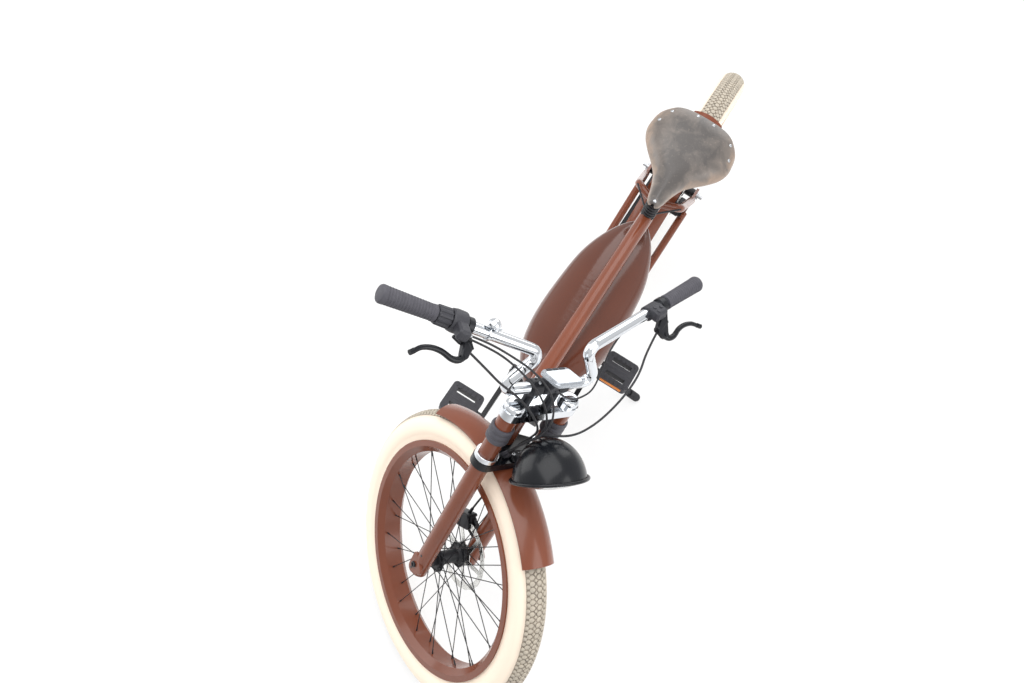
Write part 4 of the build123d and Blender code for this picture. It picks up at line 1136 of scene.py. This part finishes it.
def twistShape():
    s = twistSizes
    sleeve = []
    for at, size in s["sleeve"]:
        ring = [arc(size - (0.0 if k % 6 < 3 else s["flute"]), [5 * k])[0] for k in range(72)]
        sleeve.append([(x, at, z) for x, z in ring])
    wide, high, deep = s["housing"]
    housing = moved(plate(rounded(wide, high, 8), deep, 4), shift(*s["housingAt"]))
    return joined(loop(sleeve), turned(s["drum"], 44), housing, collar(16.5, 12.7, -8, 1))


def addTwist():
    shape = onBar(twistShape(), twistSizes["distance"], -1)
    twist = newPiece("twistShifterBody", shape, "mouldedNylon", "fork", forkPlace, angle=30)
    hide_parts("twist_shifter")


# brake levers: the clamp's distance from the bar's end, and its place along the lever from the pivot
leverSizes = {"left": dict(distance=161, clamp=28, side=1), "right": dict(distance=194, clamp=0, side=-1)}
# the lever drawn flat: its droop, pivot, blade and ball end
bladeSizes = {"droop": 36, "pivotX": 61, "boltX": 44, "thick": (6.5, 4.2), "ball": 5.6,
              "line": [(61, -2, 0), (72, 10, 0), (74, 26, 0), (67, 48, 0), (66, 70, 0), (72, 92, 0),
                       (84, 108, 0)],
              "end": [(82, 106, 0), (86, 111, 0), (89, 115, 0)]}


def leverShape(clampAt):
    s = bladeSizes
    pivotX, boltX = s["pivotX"], s["boltX"]
    clamp = moved(collar(18, 12.7, -7, 7), shift(0, clampAt, 0))
    body = moved(plate(hull([(15, clampAt, 7), (pivotX, 0, 8.5), (boltX, -6, 9)]), 16, 2.5), upToLeft)
    cylinder = bar([(34, min(24, clampAt) - 4, 0), (47, -13, 0)], (9.5, 8.5), sides=20)
    pivot = bar([(pivotX, 0, -10), (pivotX, 0, 10)], 5.5, sides=16)
    lid = bar([(boltX, -6, 7.5), (boltX, -6, 10.5)], 6.5, sides=20)
    blade = bar(s["line"], s["thick"], sides=14, steps=6, flat=1.15)
    ball = bar(s["end"], s["ball"], sides=14, steps=3)
    place = rotation(s["droop"], "Y") @ Matrix.Scale(-1, 4, (0, 0, 1))
    return moved(joined(clamp, body, cylinder, pivot, lid), place), moved(joined(blade, ball), place)


def addLevers():
    for name, s in leverSizes.items():
        body, blade = leverShape(s["clamp"])
        body = joined(onBar(body, s["distance"], s["side"]), gland(name + "BrakeHose", 0, 22))
        piece = newPiece(name + "LeverBody", body, "blackAnodised", "fork", forkPlace)
        blade = onBar(blade, s["distance"], s["side"])
        piece = newPiece(name + "LeverBlade", blade, "blackGlossEnamel", "fork", forkPlace)


# bell: a spun cup on a stem, and a spring striker with a knob
bellSizes = {"distance": 246, "y": 4, "cupZ": 21, "cup": 14, "inner": 12.8, "stem": 3, "wire": 1.1,
             "striker": [(0, 4, 18), (12, 4, 19), (21, 3, 22), (24, 2, 31)], "knob": (24, 2, 33)}


def addBell():
    s = bellSizes
    stem = bar([(0, s["y"], 12), (0, s["y"], 22)], s["stem"])
    striker = bar(s["striker"], s["wire"], sides=8)
    knob = moved(turned([(0, -3), (2.1, -2.1), (3, 0), (2.1, 2.1), (0, 3)], 14), shift(*s["knob"]))
    dome = arc(s["cup"], range(90, -6, -8)) + arc(s["inner"], range(-2, 91, 12))
    cup = moved(turned(dome, 40), aimed((0, s["y"], s["cupZ"]), (0, 0, 1)))
    bell = joined(collar(15.4, 12.7, 0, 8), stem, striker, knob, cup)
    piece = newPiece("barBell", onBar(bell, s["distance"], -1), "chromePlate", "fork", forkPlace)


# display: a silver bezel over a pale screen, tilted on its neck, with a button pod beside the left grip
displaySizes = {"at": (50, 0, 651), "tilt": 17, "long": 65, "wide": 74, "thick": 12, "corner": 11, "frame": 6,
                "screenShift": 4, "keyX": -26, "keys": (-17, 0, 17), "key": (7, 15)}
neckSizes = {"low": 18.5, "high": 15, "highAt": (44, 629), "width": 26}
podSizes = {"distance": 184, "size": (32, 28, 34), "at": (15, 17, 9), "keys": ((9, 9), (21, 9), (15, 24)),
            "keyRadius": 4.2, "keyFoot": 22, "keyTop": 25}


def addDisplay():
    s = displaySizes
    place = shift(*s["at"]) @ rotation(-s["tilt"], "Y")

    def slab(width, height, corner, thick, edge, x, y, z):
        # a rounded slab that lies flat in the display's own plane
        return moved(plate(rounded(width, height, corner), thick, edge), place @ shift(x, y, z) @ zUp)

    case = slab(s["long"], s["wide"], s["corner"], s["thick"] - 2, 2.5, 0, 0, -s["thick"] / 2 - 1)
    lip = slab(s["long"] - 3, s["wide"] - 3, s["corner"] - 1.5, 3, 1.2, 0, 0, -1.5)
    newPiece("displayBezel", joined(case, lip), "silverPaint", "fork", forkPlace)
    screenLong, screenWide = s["long"] - 2 * s["frame"] - 4, s["wide"] - 2 * s["frame"] + 2
    screen = slab(screenLong, screenWide, 6, 1.4, 0.5, s["screenShift"], 0, 0.2)
    newPiece("displayScreen", screen, "paleScreen", "fork", forkPlace)
    keys = [slab(*s["key"], 3, 2.4, 0.8, s["keyX"], y, 0.4) for y in s["keys"]]
    neckEnds = [(fork["barX"], fork["barZ"], neckSizes["low"]), (*neckSizes["highAt"], neckSizes["high"])]
    mount = joined(plate(hull(neckEnds), neckSizes["width"], 2.5), *keys, gland("displayCable", -1, 12))
    newPiece("displayMount", mount, "mouldedNylon", "fork", forkPlace)


def addButtonPod():
    s = podSizes
    wide, high, deep = s["size"]
    housing = moved(plate(rounded(wide, high, 8), deep, 3.5), shift(*s["at"]))
    keys = [bar([(x, y, s["keyFoot"]), (x, y, s["keyTop"])], s["keyRadius"], sides=16) for x, y in s["keys"]]
    pod = onBar(joined(housing, collar(17, 12.7, 0, 34), *keys), s["distance"], 1)
    newPiece("buttonPod", joined(pod, gland("displayCable", 0, 12)), "mouldedNylon", "fork", forkPlace)


# brake calipers: two cast halves over the disc, drawn with z out from the axle
caliperSizes = {"low": 68, "depth": 37, "half": 17, "corner": 9, "innerY": 41.8, "outerY": 57, "bridgeY": 53,
                "pistons": ((-10, 82), (11, 84)), "bolts": (-18, 18)}


def caliperShape():
    s = caliperSizes
    low, corner, high = s["low"], s["corner"], s["low"] + s["depth"]
    outline = hull([(-s["half"], low + 8, corner), (s["half"], low + 8, corner),
                    (3 - s["half"], high - corner, corner), (s["half"] - 3, high - corner, corner)])
    parts = [plate(outline, 5, 1.2, s["innerY"]), plate(outline, 18, 3, s["outerY"]),
             plate(rounded(46, 8, 3, 0, high - 2), 26, 1.5, s["bridgeY"])]
    for x, z in s["pistons"]:
        parts.append(bar([(x, 64, z), (x, 70, z)], (10.5, 9), sides=24))
        parts.append(bar([(x, 69, z), (x, 71.5, z)], 6, sides=6))
    parts += [bar([(x, 38.5, high - 4), (x, 68, high - 4)], 4, sides=12) for x in s["bolts"]]
    return joined(*parts)


# the calipers' turn round the axle, and the lugs and tab that hold them, by place and size
caliperMounts = {"frontTurn": -35, "rearTurn": 78, "lugs": ((82, 18, 48), (52, 10, 64)), "lugY": 61.5,
                 "tab": ((60, 350), (96, 364)), "tabY": 79}


def addCalipers():
    s = caliperMounts
    place = shift(bike["rake"], 0, 0) @ rotation(s["frontTurn"], "Y")
    lugs = [plate(rounded(length, 13, 4, x - 2, up), 9, 2, s["lugY"]) for up, x, length in s["lugs"]]
    body = joined(moved(caliperShape(), place), *lugs, gland("leftBrakeHose", -1, 26))
    piece = newPiece("frontCaliperBody", body, "blackAnodised", "fork", forkPlace)
    place = shift(0, 0, bike["wheelRadius"]) @ rotation(s["rearTurn"], "Y")
    low, high = s["tab"]
    boss = bar([(high[0], 60, high[1]), (high[0], 76, high[1])], 7, sides=18)
    piece = newPiece("rearCaliperBody", joined(moved(caliperShape(), place), boss), "blackAnodised", "frame",
                     bikePlace)
    tab = plate(hull([(*low, 10), (*high, 10)]), 8, 1.2, s["tabY"])
    piece = newPiece("rearCaliperTab", tab, "brownPowderCoat", "frame", bikePlace)


# pedals: amber strips in the front and rear edges, and raised treads above and below
pedalSizes = {"y": 156, "crank": 165, "stripX": 45.2, "strip": (66, 11), "treadX": 38,
              "treadY": range(-35, 36, 14), "tread": (12, 2.4), "treadZ": 12.4}


def addPedals():
    s = pedalSizes
    strip = moved(plate(rounded(*s["strip"], 2.5), 4, 1), rotation(90, "Z"))
    tread = plate(rounded(*s["tread"], 1), 4.5, 0.6)
    for side, name in ((1, "left"), (-1, "right")):
        centre = shift(bike["crankX"] - side * s["crank"], side * s["y"], bike["crankZ"])
        strips = [moved(strip, centre @ shift(end * s["stripX"], 0, 0)) for end in (-1, 1)]
        treads = [moved(tread, centre @ shift(end * s["treadX"], y, up * s["treadZ"]))
                  for end in (-1, 1) for y in s["treadY"] for up in (1, -1)]
        newPiece(name + "PedalStrips", joined(*strips), "amberReflector", "pedal_" + name, bikePlace)
        newPiece(name + "PedalTreads", joined(*treads), "mouldedNylon", "pedal_" + name, bikePlace)


# fittings: places of the screws, plugs and rims, in the fork's frame and the bike's
fittingSizes = {"clampX": 8, "clampY": 34, "clampZ": 616, "axleY": 95.5, "footY": 90, "plugY": 94,
                "plugs": ((34, -17), (44, 42)), "pulleyCircle": 30, "pulleyY": -60.5, "crankEnd": 96.5,
                "motorCircle": 46, "motorY": 53}
footOutline = [(35.7, -14, 15), (57.7, 2, 11), (30, 20, 11)]
coverRing = [(33, 52.5), (36, 53.4), (39, 52.5), (39, 50), (33, 50)]


def addForkFittings():
    s = fittingSizes
    throughCrown = ("rightBrakeHose", "shiftCableA", "shiftCableB")
    glands = []
    for name in throughCrown:
        endHeight = cordSizes[name]["route"][-1][2]
        glands.append(gland(name, -1, endHeight - fork["crownTop"] + 3))
    newPiece("crownGlands", joined(*glands), "greyRubber", "fork", forkPlace)
    ferrules = [gland(name, 0, 14) for name in throughCrown[1:]]
    newPiece("shifterFerrules", joined(*ferrules), "zincSteel", "fork", forkPlace)
    spots = [((fork["barX"] + x, side * s["clampY"], s["clampZ"]), (0, 0, 1))
             for side in (-1, 1) for x in (-s["clampX"], s["clampX"])]
    grown("barClampScrews", atSpots, {"Pattern": socketHead(3.2, 3)}, "zincSteel", "fork", forkPlace, spots)
    spots = [((bike["rake"], side * s["axleY"], 0), (0, side, 0)) for side in (-1, 1)]
    grown("frontAxleHeads", atSpots, {"Pattern": socketHead(7.5, 2.5)}, "blackAnodised", "fork", forkPlace,
          spots)
    feet = [plate(hull(footOutline), 8, 1.5, side * s["footY"]) for side in (-1, 1)]
    newPiece("forkFootPlates", joined(*feet), "brownPowderCoat", "fork", forkPlace)
    spots = [((x, side * s["plugY"], z), (0, side, 0)) for side in (-1, 1) for x, z in s["plugs"]]
    grown("forkFootPlugs", atSpots, {"Pattern": rivetHead(3.4, 0.3)}, "blackCoatedSteel", "fork", forkPlace,
          spots)


def roundCrank(radius, y, degrees):
    # screw places round the crank's axis, facing out to that side
    spots = arc(radius, degrees, bike["crankX"], bike["crankZ"])
    return [((x, y, z), (0, math.copysign(1, y), 0)) for x, z in spots]


def addDriveFittings():
    s = fittingSizes
    crankPlace = bikePlace @ Matrix.Translation(Vector((bike["crankX"], 0, bike["crankZ"])) * mm)
    grown("pulleyScrews", atSpots, {"Pattern": buttonHead(3.6, 2.2)}, "zincSteel", "crank", bikePlace,
          roundCrank(s["pulleyCircle"], s["pulleyY"], range(0, 360, 72)))
    ends = roundCrank(0, -s["crankEnd"], [0]) + roundCrank(0, s["crankEnd"], [0])
    grown("crankBolts", atSpots, {"Pattern": socketHead(9, 3)}, "zincSteel", "crank", bikePlace, ends)
    grown("motorScrews", atSpots, {"Pattern": buttonHead(3.4, 2.2)}, "zincSteel", "frame", bikePlace,
          roundCrank(s["motorCircle"], s["motorY"], range(30, 390, 60)))
    newPiece("motorCoverRing", turned(coverRing, 48), "motorPaint", "frame", crankPlace)


for end in wheels:
    addTyre(end)
    addSpokes(end)
    addDisc(end)
print("wheels")
addSaddle()
addSprings()
print("saddle")
addLegBands()
addHeadlight()
addBracket()
addGrips()
addTwist()
addLevers()
addBell()
addDisplay()
addButtonPod()
addCalipers()
print("bar and brakes")
addPedals()
addForkFittings()
addDriveFittings()
print("pedals and fittings")
